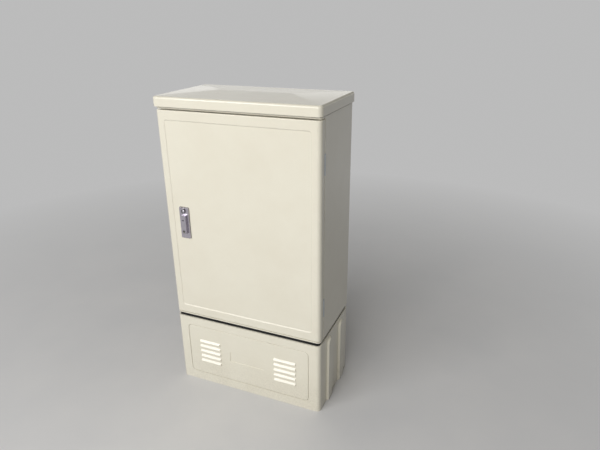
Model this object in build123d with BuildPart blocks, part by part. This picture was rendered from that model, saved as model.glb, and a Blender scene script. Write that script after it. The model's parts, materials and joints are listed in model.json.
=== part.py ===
from build123d import *
import math
import os

os.makedirs("parts", exist_ok=True)

# Roadside utility cabinet for optical fibre. Millimetres, X to the right, Y to the back, Z up.
# The origin is on the floor, in the middle of the anchor holes.

# Envelope
cabinet_width = 570.0
cabinet_depth = 296.0
plinth_height = 275.0
plinth_gasket_height = 13.0
body_height = 755.0
front_corner_radius = 15.0
rear_corner_radius = 12.0

# Faces that everything is placed from
front_y = -cabinet_depth / 2
rear_y = cabinet_depth / 2
side_x = cabinet_width / 2
body_floor_z = plinth_height + plinth_gasket_height
body_top_z = body_floor_z + body_height

# Plinth
plinth_wall = 5.0
plinth_flange = 6.0
plinth_flange_reach_x = 50.0
plinth_flange_reach_y = 51.0
plinth_way_radius = 14.0
plinth_way_width = cabinet_width - 2 * plinth_flange_reach_x
plinth_way_depth = cabinet_depth - 2 * plinth_flange_reach_y
rib_width = 44.0
rib_top_drop = 13.0
rib_proud = 8.0
rib_draft = 18.0
rib_front_inset = 91.0
rib_rear_inset = 83.0
rib_top_z = plinth_height - rib_top_drop
rib_places = (front_y + rib_front_inset, rear_y - rib_rear_inset)
anchor_inset_x = 27.0
anchor_inset_y = 30.0
anchor_hole_radius = 7.0
anchor_spacing_x = cabinet_width - 2 * anchor_inset_x
anchor_spacing_y = cabinet_depth - 2 * anchor_inset_y

# Plinth cover
cover_border_x = 44.0
cover_border_z = 35.0
cover_rise = 2.0
cover_radius = 15.0
cover_gap = 1.5
cover_edge_radius = 1.0
cover_width = cabinet_width - 2 * cover_border_x
cover_height = plinth_height - 2 * cover_border_z
cover_z = plinth_height / 2 + cover_rise
rebate_lap = 10.0
rebate_thickness = 4.0
seat_gap = 0.3
louvre_width = 84.0
louvre_pitch = 21.5
louvre_count = 5
louvre_inset = 89.0
louvre_proud = 6.0
louvre_wall = 1.6
louvre_end_wall = 1.8
louvre_above = 3.6
louvre_below = 5.5
louvre_lip = 2.5
louvre_group_x = cover_width / 2 - louvre_inset
blank_gap = 41.0
blank_height = 41.0
blank_depth = 2.0
blank_radius = 4.0
blank_width = 2 * (louvre_group_x - louvre_width / 2 - blank_gap)
clip_width = 20.0
clip_thickness = 1.5
clip_foot = 22.0
clip_hook = 8.0
clip_inset = 66.0
clip_x = cover_width / 2 - clip_inset

# Joint between plinth and body
gasket_inset = 5.0
bolt_inset_x = 27.0
bolt_inset_y = 53.0
bolt_radius = 5.0
bolt_clearance = 0.5
bolt_head_radius = 8.5
bolt_head_height = 6.0
bolt_end = 4.0
bolt_spacing_x = cabinet_width - 2 * bolt_inset_x
bolt_spacing_y = cabinet_depth - 2 * bolt_inset_y

# Body
body_wall = 5.0
front_flange = 4.0
sill_thickness = 4.0
rain_lip_thickness = 5.0
sill_set_back = 1.0
rain_lip_set_back = 6.0
rain_lip_radius = 10.0
opening_border_side = 30.0
opening_border_bottom = 22.0
opening_border_top = 24.0
opening_width = cabinet_width - 2 * opening_border_side
opening_bottom_z = body_floor_z + opening_border_bottom
opening_top_z = body_top_z - opening_border_top
seal_lip = 4.0
seal_lip_height = 9.0
seal_radius = 10.0
boss_radius = 10.0
boss_inset_side = 43.0
boss_inset_bottom = 55.0
boss_inset_top = 46.0
vent_count = 7
vent_pitch = 22.0
vent_length = 60.0
vent_width = 7.0
vent_inset = 105.0
vent_x = opening_width / 2 - vent_inset
stud_inset = 40.0
stud_radius = 3.0
stud_plate_width = 20.0
stud_plate_thickness = 2.5
stud_reach = 7.5
stud_x = opening_width / 2 - stud_inset

# Lid
lid_gap = 3.0
lid_side_overhang = 4.0
lid_front_overhang = 7.3
lid_rear_overhang = 10.8
lid_fascia = 32.0
lid_wall = 4.0
lid_corner_radius = 16.0
lid_edge_radius = 8.0
crown_rise = 6.5
crown_inset = 10.0
lid_boss_radius = 9.0
lid_boss_inset_x = 35.0
lid_boss_inset_y = 53.0
lid_boss_spacing_x = cabinet_width - 2 * lid_boss_inset_x
lid_boss_spacing_y = cabinet_depth - 2 * lid_boss_inset_y
roof_screw_radius = 3.0
roof_screw_depth = 16.0
roof_screw_head_radius = 5.5
roof_screw_head_height = 3.5
screw_clearance = 0.05

# Cable entry
entry_border_x = 95.0
entry_border_y = 68.0
entry_set_back = 5.0
entry_lap = 15.0
entry_plate_thickness = 3.0
port_inset = 30.0
port_radius = 14.0
entry_width = cabinet_width - 2 * entry_border_x
entry_depth = cabinet_depth - 2 * entry_border_y
entry_y = (front_y + rear_y) / 2 + entry_set_back
port_spacing_x = entry_width / 2 - port_inset
port_spacing_y = entry_depth / 2
grommet_plate_radius = 22.0
grommet_flange_radius = 26.0
grommet_neck_gap = 0.2
grommet_flange = 2.5
grommet_collar_height = 6.0

# Door
door_thickness = 29.1
door_wall = 4.0
door_sill_gap = 2.0
door_lip_gap = 3.0
door_edge_radius = 2.5
recess_border = 30.0
recess_depth = 2.0
recess_radius = 10.0
recess_slope = 60.0
liner_wall = 3.0
channel_depth = 15.9
field_depth = 5.1
glue_gap = 0.3
door_gasket_width = 9.0
channel_clearance = 0.3
seal_clearance = 0.3
door_bottom_z = body_floor_z + sill_thickness + door_sill_gap
door_top_z = body_top_z - rain_lip_thickness - door_lip_gap
door_height = door_top_z - door_bottom_z
door_z = (door_top_z + door_bottom_z) / 2

# Framed fields and record sheets on the liner
bead_width = 8.0
bead_height = 2.0
bead_cut = 26.0
bead_inset_left = 90.0
bead_inset_right = 33.0
bead_inset_bottom = 182.0
bead_inset_top = 19.0
bead_gap = 12.0
upper_field_height = 138.0
bead_left = -opening_width / 2 + bead_inset_left
bead_right = opening_width / 2 - bead_inset_right
upper_bead_z = (opening_top_z - bead_inset_top - upper_field_height, opening_top_z - bead_inset_top)
lower_bead_z = (opening_bottom_z + bead_inset_bottom, upper_bead_z[0] - bead_gap)
sheet_inset_left = 13.0
sheet_inset_right = 134.0
sheet_inset_bottom = 16.0
sheet_inset_top = 18.0
sheet_gap = 15.0
sheet_thickness = 0.8
sheet_left = bead_left + sheet_inset_left
sheet_right = bead_right - sheet_inset_right
sheet_bottom_z = lower_bead_z[0] + sheet_inset_bottom
sheet_top_z = lower_bead_z[1] - sheet_inset_top
sheet_height = (sheet_top_z - sheet_bottom_z - sheet_gap) / 2

# Hinges
leaf_thickness = 1.5
leaf_clearance = 0.4
hinge_inset = 0.5
hinge_rise = 125.0
hinge_drop = 142.0
hinge_places = (body_floor_z + hinge_rise, body_top_z - hinge_drop)
hinge_height = 66.0
knuckle_radius = 3.0
hinge_pin_radius = 1.5
hinge_pin_clearance = 0.05
knuckle_gap = 0.3
knuckle_notch = 0.5
leaf_edge_gap = 2.0
leaf_screw_radius = 2.0
leaf_screw_spacing = 44.0

# Lock
lock_inset = 45.0
lock_drop = 9.5
lock_plate_width = 36.0
lock_plate_height = 112.0
lock_plate_thickness = 5.8
lock_plate_radius = 3.0
lock_x = -opening_width / 2 + lock_inset
lock_plate_z = door_z - lock_drop
spindle_drop = 30.0
spindle_radius = 7.5
spindle_clearance = 0.08
spindle_way = 1.5
spindle_z = lock_plate_z - spindle_drop
tongue_width = 8.0
tongue_clearance = 0.3
handle_width = 20.0
handle_thickness = 7.7
handle_top_rise = 31.0
handle_pivot_drop = 3.0
handle_pin_radius = 2.0
handle_pin_clearance = 0.05
handle_gap = 0.5
handle_grip_hole_radius = 2.6
handle_grip_hole_drop = 19.0
handle_top_z = lock_plate_z + handle_top_rise
handle_grip_hole_z = handle_top_z - handle_grip_hole_drop
key_rise = 43.0
key_radius = 6.5
key_slot_width = 1.6
key_slot_height = 7.0
key_slot_depth = 10.0
key_cover_radius = 8.5
key_cover_thickness = 2.2
key_cover_gap = 0.5
key_rivet_rise = 8.5
key_rivet_radius = 1.8
key_rivet_head_radius = 3.2
key_rivet_head = 1.2
key_z = lock_plate_z + key_rise
key_rivet_z = key_z + key_rivet_rise
housing_width = 64.0
housing_height = 68.0
housing_rise = 15.0
housing_depth = 14.0
housing_z = spindle_z + housing_rise
cam_thickness = 3.0
cam_gap = 0.6
cam_pin_circle = 16.0
cam_pin_radius = 3.0
cam_width = 15.0
rod_slot_clearance = 0.8
rod_eye_thickness = 4.0
rod_eye_wall = 4.0
rod_neck = 12.0
rod_radius = 4.0
rod_clearance = 0.08
rod_tip_gap = 2.0
guide_height = 10.0
guide_width = 24.0
guide_rise = 35.0
guide_drop = 41.0
guide_z = (opening_bottom_z + guide_rise, opening_top_z - guide_drop)

# Stay that holds the door open
stay_inset = 77.0
stay_rise = 10.0
stay_length = 137.0
stay_radius = 3.0
stay_y_offset = 3.2
stay_eye_radius = 7.0
stay_pin_radius = 2.5
stay_pin_clearance = 0.05
stay_bracket_width = 20.0
stay_bracket_thickness = 2.0
stay_bracket_height = 18.0
stay_clip_distance = 103.0
stay_clip_width = 12.0
stay_clip_gap = 0.3
stay_x = opening_width / 2 - stay_inset
stay_z = opening_bottom_z + stay_rise
stay_clip_x = stay_x - stay_clip_distance

# Equipment frame
sheet_steel = 2.0
panel_side_gap = 37.0
panel_floor_gap = 52.0
panel_top_gap = 37.0
panel_rear_gap = 30.0
frame_set_back = 108.0
shelf_rise = 196.0
panel_width = cabinet_width - 2 * panel_side_gap
panel_half = panel_width / 2
panel_bottom_z = body_floor_z + panel_floor_gap
panel_top_z = body_top_z - panel_top_gap
panel_y = rear_y - panel_rear_gap
frame_front_y = front_y + frame_set_back
shelf_z = body_floor_z + shelf_rise
boss_x = panel_half - boss_inset_side
boss_z = (panel_bottom_z + boss_inset_bottom, panel_top_z - boss_inset_top)

# Tray module
module_inset_left = 105.0
module_inset_right = 60.0
module_shelf_gap = 130.0
module_top_gap = 24.0
module_step = 10.0
module_foot_height = 29.0
module_wall = 3.0
module_ear_width = 16.0
module_ear_height = 16.0
module_ear_hole_radius = 3.0
module_left = -opening_width / 2 + module_inset_left
module_right = opening_width / 2 - module_inset_right
module_bottom_z = shelf_z + module_shelf_gap
module_top_z = panel_top_z - module_top_gap
module_front_y = frame_front_y - module_step
tray_count = 12
tray_gap = 3.2
tray_ledge_width = 5.0
tray_ledge_thickness = 2.0
tray_clearance = 0.4
tray_lift = 0.3
tray_proud = 2.0
tray_rear_gap = 6.0
tray_floor_z = module_bottom_z + module_foot_height
tray_pitch = (module_top_z - module_wall - tray_floor_z) / tray_count
tray_height = tray_pitch - tray_gap
bay_inset = 19.0
bay_width = 167.0
bay_depth = 34.0
bay_floor = 2.5
bay_roof = 2.0
bay_left = module_left + bay_inset
bay_right = bay_left + bay_width
bay_height = tray_height - bay_floor - bay_roof
tab_width = 14.0
tab_proud = 3.5
tab_border = 7.0
cover_step = 1.2
cover_margin = 3.0
latch_margin = 6.0
latch_slot_width = 3.0
latch_slot_border = 5.4
latch_slot_depth = 8.0
adapter_count = 12
adapter_pitch = 13.4
adapter_width = 10.6
adapter_foot = 2.0
adapter_head = 6.3
adapter_height = bay_height - adapter_foot - adapter_head
adapter_proud = 5.0
adapter_strip_setback = 6.0
plug_count = 12
plug_inset_left = 25.0
plug_inset_right = 59.3
plug_rise = 14.0
plug_share = 0.3375
plug_flange = 3.0
plug_barrel_share = 0.75
plug_barrel_length = 9.0
plug_first_x = module_left + plug_inset_left
plug_pitch = (module_right - plug_inset_right - plug_first_x) / (plug_count - 1)
plug_z = module_bottom_z + plug_rise
plug_radius = plug_pitch * plug_share
plug_barrel_radius = plug_radius * plug_barrel_share

# Fixing plate
fixing_top_drop = 4.0
fixing_height = 108.0
fixing_stud_radius = 3.0
fixing_stud_length = 12.0
fixing_stud_count = 7
fixing_stud_margin = 62.0
fixing_stud_drop = 35.0
fixing_hole_radius = 3.5
fixing_hole_drop = 18.0
fixing_top_z = shelf_z - fixing_top_drop
fixing_bottom_z = fixing_top_z - fixing_height
fixing_stud_pitch = (panel_width - 2 * fixing_stud_margin) / (fixing_stud_count - 1)
fixing_stud_z = fixing_top_z - fixing_stud_drop
fixing_hole_z = fixing_top_z - fixing_hole_drop

# Guides for the fibre
reel_plate_gap = 17.0
reel_plate_drop = 4.0
reel_plate_lap = 25.0
reel_inset = 66.0
reel_rise = 48.0
reel_outer_radius = 60.0
reel_hub_radius = 36.0
reel_hole_radius = 28.0
reel_flange = 3.0
reel_length = 32.0
reel_petals = 4
reel_petal_gap = 34.0
reel_plate_left = -side_x + reel_plate_gap
reel_plate_right = module_left + reel_plate_lap
reel_plate_top_z = module_bottom_z - reel_plate_drop
reel_x = reel_plate_left + reel_inset
reel_z = shelf_z + reel_rise
comb_inset_left = 3.0
comb_inset_right = 5.8
comb_teeth = 40
comb_tooth_width = 5.4
comb_tooth_height = 20.0
comb_strip_height = 4.0
comb_thickness = 3.0
comb_left = reel_plate_right + comb_inset_left
comb_length = panel_half - comb_inset_right - comb_left
comb_pitch = (comb_length - comb_tooth_width) / (comb_teeth - 1)
ring_rise = 76.0
ring_drop = 144.0
ring_height = 9.0
ring_wall = 4.0
ring_depth = 44.0
ring_set_back = 30.0
ring_left_length = 70.0
ring_right_length = 46.0
ring_radius = 12.0
ring_slit = 5.0
ring_places_z = (module_bottom_z + ring_rise, module_top_z - ring_drop)
ring_y = module_front_y + ring_set_back

# Earthing bar
earth_inset = 23.0
earth_length = 155.0
earth_rise = 24.0
earth_height = 20.0
earth_thickness = 4.0
earth_spacer = 7.0
earth_spacer_radius = 6.0
earth_bolt_count = 4
earth_bolt_radius = 5.0
earth_bolt_height = 5.0
earth_right = panel_half - earth_inset
earth_left = earth_right - earth_length
earth_z = fixing_bottom_z + earth_rise

# Faces that the pieces share
lid_z = body_top_z + lid_gap
door_rear_y = front_y + door_thickness
seam = 2 * leaf_thickness + leaf_clearance
body_face_y = door_rear_y + seam
opening_height = opening_top_z - opening_bottom_z
opening_z = (opening_top_z + opening_bottom_z) / 2
seal_width = opening_width + seal_lip
seal_height = opening_height + seal_lip
lip_front_y = body_face_y - seal_lip_height
recess_face_y = front_y + recess_depth
hinge_x = side_x - hinge_inset
hinge_y = body_face_y - seam / 2
room_rear_y = rear_y - body_wall
field_rear_y = door_rear_y - field_depth
channel_floor_y = door_rear_y - channel_depth


# A sketch plane that faces the front and stands at a given Y.
def front_plane(y):
    return Plane.XZ.offset(-y)


# A sketch plane that faces outwards on the left or right, and stands at a given distance from the middle.
def side_plane(side, distance):
    return Plane(origin=(side * distance, 0, 0), x_dir=(0, side, 0), z_dir=(side, 0, 0))


# A rounded rectangle that runs round the door opening at a distance outside the middle of the seal lip.
def seal_outline(outside, mode=Mode.ADD):
    with Locations((0, opening_z)):
        RectangleRounded(
            seal_width + 2 * outside, seal_height + 2 * outside, seal_radius + outside, mode=mode
        )


# Plinth: one moulding with an open bottom, a window in front and ribs at the sides
window_width = cover_width + 2 * cover_gap
window_height = cover_height + 2 * cover_gap
rebate_rear_y = front_y + plinth_wall + rebate_thickness

with BuildPart() as base_shell:
    with BuildSketch():
        RectangleRounded(cabinet_width, cabinet_depth, front_corner_radius)
    extrude(amount=plinth_height)
    with BuildSketch(Plane.XY.offset(plinth_flange)):
        RectangleRounded(
            cabinet_width - 2 * plinth_wall,
            cabinet_depth - 2 * plinth_wall,
            front_corner_radius - plinth_wall,
        )
    extrude(amount=plinth_height - 2 * plinth_flange, mode=Mode.SUBTRACT)
    with BuildSketch():
        RectangleRounded(plinth_way_width, plinth_way_depth, plinth_way_radius)
    extrude(amount=plinth_height, mode=Mode.SUBTRACT)
    for side in (-1, 1):
        with BuildSketch(side_plane(side, side_x)):
            for rib_y in rib_places:
                with Locations((side * rib_y, 0)):
                    Rectangle(rib_width, rib_top_z - rib_width / 2, align=(Align.CENTER, Align.MIN))
                with Locations((side * rib_y, rib_top_z - rib_width / 2)):
                    Circle(rib_width / 2)
        extrude(amount=rib_proud, taper=rib_draft)
    with BuildSketch(front_plane(front_y)):
        with Locations((0, cover_z)):
            RectangleRounded(window_width, window_height, cover_radius + cover_gap)
    extrude(amount=-plinth_wall, mode=Mode.SUBTRACT)
    with BuildSketch(front_plane(front_y + plinth_wall)):
        with Locations((0, cover_z)):
            RectangleRounded(
                window_width + 2 * rebate_lap, window_height + 2 * rebate_lap, cover_radius + rebate_lap
            )
            RectangleRounded(
                cover_width - 2 * rebate_lap,
                cover_height - 2 * rebate_lap,
                cover_radius - rebate_lap / 2,
                mode=Mode.SUBTRACT,
            )
    extrude(amount=-rebate_thickness)
    with BuildSketch():
        with GridLocations(anchor_spacing_x, anchor_spacing_y, 2, 2):
            Circle(anchor_hole_radius)
    extrude(amount=plinth_flange, mode=Mode.SUBTRACT)
    with BuildSketch(Plane.XY.offset(plinth_height)):
        with GridLocations(bolt_spacing_x, bolt_spacing_y, 2, 2):
            Circle(bolt_radius + bolt_clearance)
    extrude(amount=-plinth_flange, mode=Mode.SUBTRACT)

base_shell.part.label = "base_shell"
export_step(base_shell.part, "parts/base_shell.step")

# Plinth cover: a flush panel with hooded louvres, open below each hood
cover_thickness = plinth_wall - seat_gap
louvre_first_z = cover_z - louvre_pitch * (louvre_count - 1) / 2
louvre_places = [louvre_first_z + louvre_pitch * n for n in range(louvre_count)]
hood_y = front_y - louvre_proud

with BuildPart() as base_front_cover:
    with BuildSketch(front_plane(front_y)):
        with Locations((0, cover_z)):
            RectangleRounded(cover_width, cover_height, cover_radius)
    extrude(amount=-cover_thickness)
    fillet(base_front_cover.faces().sort_by(Axis.Y)[0].edges(), cover_edge_radius)
    with BuildSketch(front_plane(front_y)):
        with Locations((0, cover_z)):
            RectangleRounded(blank_width, blank_height, blank_radius)
    extrude(amount=-blank_depth, mode=Mode.SUBTRACT)
    for group_x in (-louvre_group_x, louvre_group_x):
        with BuildSketch(Plane.YZ.offset(group_x)):
            for z in louvre_places:
                Polygon(
                    (front_y + louvre_wall, z + louvre_above),
                    (front_y, z + louvre_above),
                    (hood_y, z - louvre_below + louvre_lip),
                    (hood_y, z - louvre_below),
                    (front_y + louvre_wall, z - louvre_below),
                    align=None,
                )
        extrude(amount=louvre_width / 2, both=True)
        with BuildSketch(Plane.YZ.offset(group_x)):
            for z in louvre_places:
                Polygon(
                    (front_y + plinth_wall, z + louvre_above - 2 * louvre_wall),
                    (front_y + louvre_wall / 4, z + louvre_above - 2 * louvre_wall),
                    (hood_y + louvre_wall, z - louvre_below + louvre_lip),
                    (hood_y + louvre_wall, z - louvre_below - louvre_wall),
                    (front_y, z - louvre_below - louvre_wall),
                    (front_y, z - louvre_below + louvre_wall),
                    (front_y + plinth_wall, z - louvre_below + louvre_wall),
                    align=None,
                )
        extrude(amount=louvre_width / 2 - louvre_end_wall, both=True, mode=Mode.SUBTRACT)

base_front_cover.part.label = "base_front_cover"
export_step(base_front_cover.part, "parts/base_front_cover.step")

# Spring clips: bent strips on the back of the cover that hook behind the rebate
cover_rear_y = front_y + cover_thickness
hook_near_y = rebate_rear_y + seat_gap
hook_far_y = hook_near_y + clip_thickness

with BuildPart() as base_cover_clips:
    for clip_place in (-clip_x, clip_x):
        with BuildSketch(Plane.YZ.offset(clip_place)):
            for up in (-1, 1):
                edge_z = cover_z + up * (cover_height / 2 - rebate_lap - seat_gap)
                Polygon(
                    (cover_rear_y, edge_z - up * clip_foot),
                    (cover_rear_y, edge_z),
                    (hook_near_y, edge_z),
                    (hook_near_y, edge_z + up * clip_hook),
                    (hook_far_y, edge_z + up * clip_hook),
                    (hook_far_y, edge_z - up * clip_thickness),
                    (cover_rear_y + clip_thickness, edge_z - up * clip_thickness),
                    (cover_rear_y + clip_thickness, edge_z - up * clip_foot),
                    align=None,
                )
        extrude(amount=clip_width / 2, both=True)

base_cover_clips.part.label = "base_cover_clips"
export_step(base_cover_clips.part, "parts/base_cover_clips.step")

# Rubber spacer between plinth and body
with BuildPart() as base_gasket:
    with BuildSketch(Plane.XY.offset(plinth_height)):
        RectangleRounded(
            cabinet_width - 2 * gasket_inset,
            cabinet_depth - 2 * gasket_inset,
            front_corner_radius - gasket_inset,
        )
        RectangleRounded(plinth_way_width, plinth_way_depth, plinth_way_radius, mode=Mode.SUBTRACT)
        with GridLocations(bolt_spacing_x, bolt_spacing_y, 2, 2):
            Circle(bolt_radius + bolt_clearance, mode=Mode.SUBTRACT)
    extrude(amount=plinth_gasket_height)

base_gasket.part.label = "base_gasket"
export_step(base_gasket.part, "parts/base_gasket.step")

# Bolts through body floor, spacer and plinth flange, with their nuts
bolt_top_z = body_floor_z + sill_thickness
nut_top_z = plinth_height - plinth_flange

with BuildPart() as base_bolts:
    with BuildSketch(Plane.XY.offset(bolt_top_z)):
        with GridLocations(bolt_spacing_x, bolt_spacing_y, 2, 2):
            RegularPolygon(bolt_head_radius, 6)
    extrude(amount=bolt_head_height)
    with BuildSketch(Plane.XY.offset(nut_top_z)):
        with GridLocations(bolt_spacing_x, bolt_spacing_y, 2, 2):
            RegularPolygon(bolt_head_radius, 6)
    extrude(amount=-bolt_head_height)
    with BuildSketch(Plane.XY.offset(nut_top_z - bolt_head_height - bolt_end)):
        with GridLocations(bolt_spacing_x, bolt_spacing_y, 2, 2):
            Circle(bolt_radius)
    extrude(amount=bolt_top_z - nut_top_z + bolt_head_height + bolt_end)

base_bolts.part.label = "base_bolts"
export_step(base_bolts.part, "parts/base_bolts.step")

# Body: one moulding with sill, rain lip, front flange and a raised lip round the opening
room_depth = room_rear_y - (body_face_y + front_flange)
room_y = (room_rear_y + body_face_y + front_flange) / 2
body_inner_top_z = body_top_z - rain_lip_thickness
boss_length = room_rear_y - panel_y - sheet_steel

with BuildPart() as body_shell:
    with BuildSketch(Plane.XY.offset(body_floor_z)) as body_outline:
        with Locations((0, (body_face_y + rear_y) / 2)):
            Rectangle(cabinet_width, rear_y - body_face_y)
        fillet(body_outline.vertices().group_by(Axis.Y)[-1], rear_corner_radius)
    extrude(amount=body_height)
    with BuildSketch(Plane.XY.offset(body_floor_z + sill_thickness)) as body_room:
        with Locations((0, room_y)):
            Rectangle(cabinet_width - 2 * body_wall, room_depth)
        fillet(body_room.vertices().group_by(Axis.Y)[-1], rear_corner_radius - body_wall)
    extrude(amount=body_height - sill_thickness - rain_lip_thickness, mode=Mode.SUBTRACT)
    with BuildSketch(Plane.XY.offset(body_floor_z)) as sill_outline:
        with Locations((0, (front_y + sill_set_back + body_face_y) / 2)):
            Rectangle(cabinet_width, body_face_y - front_y - sill_set_back)
        fillet(sill_outline.vertices().group_by(Axis.Y)[0], front_corner_radius)
    extrude(amount=sill_thickness)
    with BuildSketch(Plane.XY.offset(body_inner_top_z)) as rain_outline:
        with Locations((0, (front_y + rain_lip_set_back + body_face_y) / 2)):
            Rectangle(cabinet_width, body_face_y - front_y - rain_lip_set_back)
        fillet(rain_outline.vertices().group_by(Axis.Y)[0], rain_lip_radius)
    extrude(amount=rain_lip_thickness)
    with BuildSketch(front_plane(body_face_y)):
        seal_outline(seal_lip / 2)
    extrude(amount=seal_lip_height)
    with BuildSketch(front_plane(lip_front_y)):
        seal_outline(-seal_lip / 2)
    extrude(amount=-(seal_lip_height + front_flange), mode=Mode.SUBTRACT)
    with BuildSketch(front_plane(room_rear_y)):
        for z in boss_z:
            with Locations((-boss_x, z), (boss_x, z)):
                Circle(boss_radius)
    extrude(amount=boss_length)
    with BuildSketch(Plane.XY.offset(body_floor_z)):
        with Locations((0, entry_y)):
            Rectangle(entry_width, entry_depth)
        with GridLocations(bolt_spacing_x, bolt_spacing_y, 2, 2):
            Circle(bolt_radius + bolt_clearance)
    extrude(amount=sill_thickness, mode=Mode.SUBTRACT)
    with BuildSketch(Plane.XY.offset(body_inner_top_z)):
        for group_x in (-vent_x, vent_x):
            with Locations((group_x, 0)):
                with GridLocations(vent_length, vent_pitch, 1, vent_count):
                    Rectangle(vent_length, vent_width)
        with GridLocations(lid_boss_spacing_x, lid_boss_spacing_y, 2, 2):
            Circle(roof_screw_radius + bolt_clearance)
    extrude(amount=rain_lip_thickness, mode=Mode.SUBTRACT)
    # Room for the hinge knuckles at the front edge
    for z in hinge_places:
        with BuildSketch(Plane.XY.offset(z - hinge_height / 2 - knuckle_notch)):
            with Locations((hinge_x, hinge_y)):
                Circle(knuckle_radius + knuckle_notch)
        extrude(amount=hinge_height + 2 * knuckle_notch, mode=Mode.SUBTRACT)

body_shell.part.label = "body_shell"
export_step(body_shell.part, "parts/body_shell.step")

# Lid: a hollow cap with a rounded top edge and a low hipped crown
lid_width = cabinet_width + 2 * lid_side_overhang
lid_depth = cabinet_depth + lid_front_overhang + lid_rear_overhang
lid_y = (lid_rear_overhang - lid_front_overhang) / 2
crown_z = lid_z + lid_fascia
crown_half_width = lid_width / 2 - crown_inset
crown_half_depth = lid_depth / 2 - crown_inset
ridge_half_width = crown_half_width - crown_half_depth

with BuildPart() as crown:
    with BuildSketch(Plane.YZ):
        with Locations((lid_y, crown_z)):
            Polygon(
                (-crown_half_depth, -lid_wall / 2),
                (crown_half_depth, -lid_wall / 2),
                (crown_half_depth, 0),
                (0, crown_rise),
                (-crown_half_depth, 0),
                align=None,
            )
    extrude(amount=crown_half_width, both=True)
    with BuildSketch(front_plane(lid_y)):
        with Locations((0, crown_z)):
            Polygon(
                (-crown_half_width, -lid_wall / 2),
                (crown_half_width, -lid_wall / 2),
                (crown_half_width, 0),
                (ridge_half_width, crown_rise),
                (-ridge_half_width, crown_rise),
                (-crown_half_width, 0),
                align=None,
            )
    extrude(amount=crown_half_depth, both=True, mode=Mode.INTERSECT)

with BuildPart() as roof_cap:
    with BuildSketch(Plane.XY.offset(lid_z)):
        with Locations((0, lid_y)):
            RectangleRounded(lid_width, lid_depth, lid_corner_radius)
    extrude(amount=lid_fascia)
    fillet(roof_cap.faces().sort_by(Axis.Z)[-1].edges(), lid_edge_radius)
    add(crown.part)
    with BuildSketch(Plane.XY.offset(lid_z)):
        with Locations((0, lid_y)):
            RectangleRounded(
                lid_width - 2 * lid_wall, lid_depth - 2 * lid_wall, lid_corner_radius - lid_wall
            )
    extrude(amount=lid_fascia - lid_wall, mode=Mode.SUBTRACT)
    with BuildSketch(Plane.XY.offset(body_top_z)):
        with GridLocations(lid_boss_spacing_x, lid_boss_spacing_y, 2, 2):
            Circle(lid_boss_radius)
    extrude(amount=lid_gap + lid_fascia - lid_wall)
    with BuildSketch(Plane.XY.offset(body_top_z)):
        with GridLocations(lid_boss_spacing_x, lid_boss_spacing_y, 2, 2):
            Circle(roof_screw_radius + screw_clearance)
    extrude(amount=roof_screw_depth + 2 * bolt_clearance, mode=Mode.SUBTRACT)

roof_cap.part.label = "roof_cap"
export_step(roof_cap.part, "parts/roof_cap.step")

# Screws that hold the lid from inside
with BuildPart() as roof_screws:
    with BuildSketch(Plane.XY.offset(body_inner_top_z)):
        with GridLocations(lid_boss_spacing_x, lid_boss_spacing_y, 2, 2):
            Circle(roof_screw_head_radius)
    extrude(amount=-roof_screw_head_height)
    with BuildSketch(Plane.XY.offset(body_inner_top_z)):
        with GridLocations(lid_boss_spacing_x, lid_boss_spacing_y, 2, 2):
            Circle(roof_screw_radius)
    extrude(amount=rain_lip_thickness + roof_screw_depth)

roof_screws.part.label = "roof_screws"
export_step(roof_screws.part, "parts/roof_screws.step")

# Cable entry: a steel plate over the floor opening, with a grommet in each hole
entry_plate_z = body_floor_z + sill_thickness

with BuildPart() as entry_plate:
    with BuildSketch(Plane.XY.offset(entry_plate_z)):
        with Locations((0, entry_y)):
            Rectangle(entry_width + 2 * entry_lap, entry_depth + 2 * entry_lap)
            with GridLocations(port_spacing_x, port_spacing_y, 2, 2):
                Circle(grommet_plate_radius, mode=Mode.SUBTRACT)
    extrude(amount=entry_plate_thickness)

entry_plate.part.label = "entry_plate"
export_step(entry_plate.part, "parts/entry_plate.step")

entry_plate_top_z = entry_plate_z + entry_plate_thickness

with BuildPart() as entry_grommets:
    with BuildSketch(Plane.XY.offset(entry_plate_z - grommet_flange)):
        with Locations((0, entry_y)):
            with GridLocations(port_spacing_x, port_spacing_y, 2, 2):
                Circle(grommet_flange_radius)
    extrude(amount=grommet_flange)
    with BuildSketch(Plane.XY.offset(entry_plate_z)):
        with Locations((0, entry_y)):
            with GridLocations(port_spacing_x, port_spacing_y, 2, 2):
                Circle(grommet_plate_radius - grommet_neck_gap)
    extrude(amount=entry_plate_thickness)
    with BuildSketch(Plane.XY.offset(entry_plate_top_z)):
        with Locations((0, entry_y)):
            with GridLocations(port_spacing_x, port_spacing_y, 2, 2):
                Circle(grommet_flange_radius)
    extrude(amount=grommet_collar_height)
    with BuildSketch(Plane.XY.offset(entry_plate_z - grommet_flange)):
        with Locations((0, entry_y)):
            with GridLocations(port_spacing_x, port_spacing_y, 2, 2):
                Circle(port_radius)
    extrude(
        amount=grommet_flange + entry_plate_thickness + grommet_collar_height, mode=Mode.SUBTRACT
    )

entry_grommets.part.label = "entry_grommets"
export_step(entry_grommets.part, "parts/entry_grommets.step")

# Door skin: an open-backed pan with rounded front corners and a shallow recess
recess_width = cabinet_width - 2 * recess_border
recess_height = door_height - 2 * recess_border

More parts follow.
